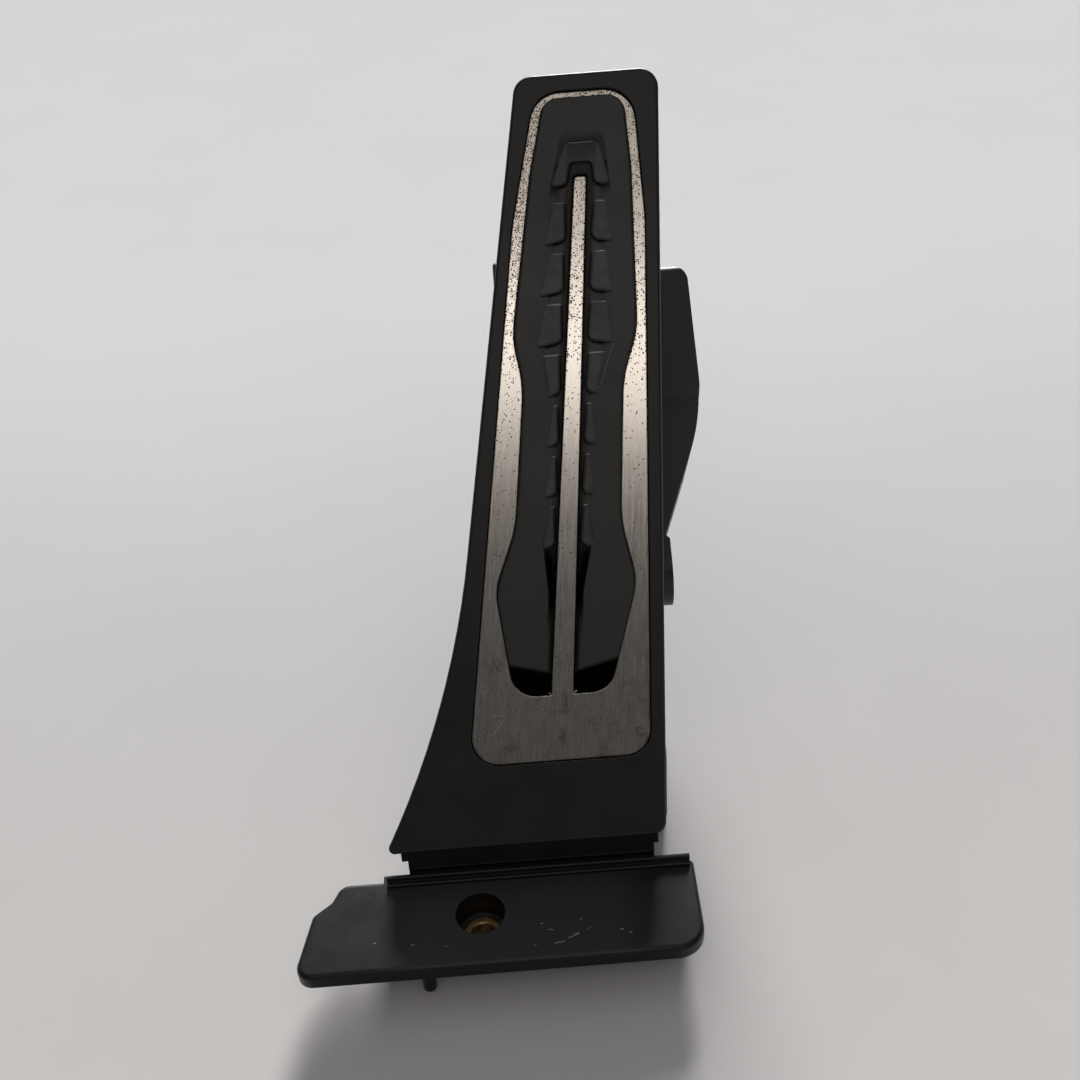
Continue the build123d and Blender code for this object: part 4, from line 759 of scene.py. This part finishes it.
def make_floor():
    """Round flat floor."""
    around = 96
    rim = 6.0
    angles = [2 * pi * step / around for step in range(around)]
    points = [(rim * cos(angle), rim * sin(angle), 0.0) for angle in angles]
    mesh = bpy.data.meshes.new("floor")
    mesh.from_pydata(points, [], [tuple(range(around))])
    mesh.materials.append(floor_finish())
    floor = bpy.data.objects.new("floor", mesh)
    bpy.context.scene.collection.objects.link(floor)


def hang(light, place, turn):
    lamp = bpy.data.objects.new(light.name, light)
    lamp.matrix_world = Matrix.Translation(place) @ turn.to_4x4()
    lamp.visible_camera = False
    bpy.context.scene.collection.objects.link(lamp)


def far_window(name, way, spread, strength, colour):
    """Light from far off along way, as wide as the spread in degrees."""
    light = bpy.data.lights.new(name, "SUN")
    light.angle = radians(spread)
    light.energy = strength
    light.color = colour
    hang(light, way, way.to_track_quat("Z", "Y").to_matrix())


def strip_light(name, place, target, along, length, width, watts, colour):
    """Long lamp at place that faces the target, lying along the given line."""
    light = bpy.data.lights.new(name, "AREA")
    light.shape = "RECTANGLE"
    light.size = length
    light.size_y = width
    light.energy = watts
    light.color = colour
    facing = (place - target).normalized()
    side = (along - facing * along.dot(facing)).normalized()
    hang(light, place, Matrix((side, facing.cross(side), facing)).transposed())


def sky():
    """Dim room, pale along the horizon, with a lighter ceiling ahead of the pad."""
    world = bpy.data.worlds.new("room")
    bpy.context.scene.world = world
    world.use_nodes = True
    sheet = Sheet(world.node_tree)
    x, y, z = sheet.split(sheet.add("TexCoord").outputs["Generated"])
    middle = sheet.ramp(sheet.math("ABSOLUTE", x), 0.6, 0.25)
    ahead = sheet.math("MULTIPLY", sheet.ramp(y, 0.1, -0.35), middle)
    wall = sheet.math("MULTIPLY", ahead, sheet.ramp(z, 0.646, 0.776))
    colour = sheet.mix(wall, (0.07, 0.07, 0.07, 1.0), (0.50, 0.465, 0.435, 1.0))
    ceiling = sheet.math("MULTIPLY", ahead, sheet.ramp(z, 0.79, 0.87))
    colour = sheet.mix(ceiling, colour, (0.85, 0.82, 0.79, 1.0))
    colour = sheet.mix(sheet.ramp(z, 0.88, 0.95), colour, (0.3, 0.3, 0.31, 1.0))
    colour = sheet.mix(sheet.ramp(z, 0.12, 0.3), (0.62, 0.625, 0.64, 1.0), colour)
    sheet.feed(world.node_tree.nodes["Background"].inputs["Color"], colour)


def make_camera():
    data = bpy.data.cameras.new("camera")
    data.sensor_fit = "HORIZONTAL"
    data.sensor_width = CAMERA_SENSOR
    data.lens = CAMERA_LENS
    camera = bpy.data.objects.new("camera", data)
    level_right = CAMERA_FORWARD.cross(Vector((0, 0, 1))).normalized()
    level_up = level_right.cross(CAMERA_FORWARD)
    right = level_right * cos(CAMERA_ROLL) - level_up * sin(CAMERA_ROLL)
    up = level_right * sin(CAMERA_ROLL) + level_up * cos(CAMERA_ROLL)
    axes = Matrix((right, up, -CAMERA_FORWARD)).transposed().to_4x4()
    camera.matrix_world = Matrix.Translation(CAMERA_PLACE) @ axes
    bpy.context.scene.collection.objects.link(camera)
    bpy.context.scene.camera = camera


make_floor()
sky()
PAD_MIDDLE = HINGE + UP_PAD * 0.14 + Vector((0.038, 0, 0))
STRIP_PLACE = Vector((0.0820, -0.8145, 1.0670))
STRIP_ALONG = Vector((0.9881, -0.0825, -0.1299))
STRIP_SIZE = (0.9, 0.16)
WARM_WHITE = (1.0, 0.955, 0.91)
DAY_WHITE = (1.0, 0.99, 0.98)
strip_light("ceiling_strip", STRIP_PLACE, PAD_MIDDLE, STRIP_ALONG, *STRIP_SIZE, 1.15, WARM_WHITE)
far_window("back_window", Vector((0.11, 0.90, 0.41)), 20.0, 4.85, DAY_WHITE)
far_window("back_sky", Vector((0.0, 0.71, 0.71)), 100.0, 0.36, DAY_WHITE)
make_camera()

bpy.context.scene.view_settings.view_transform = "Standard"
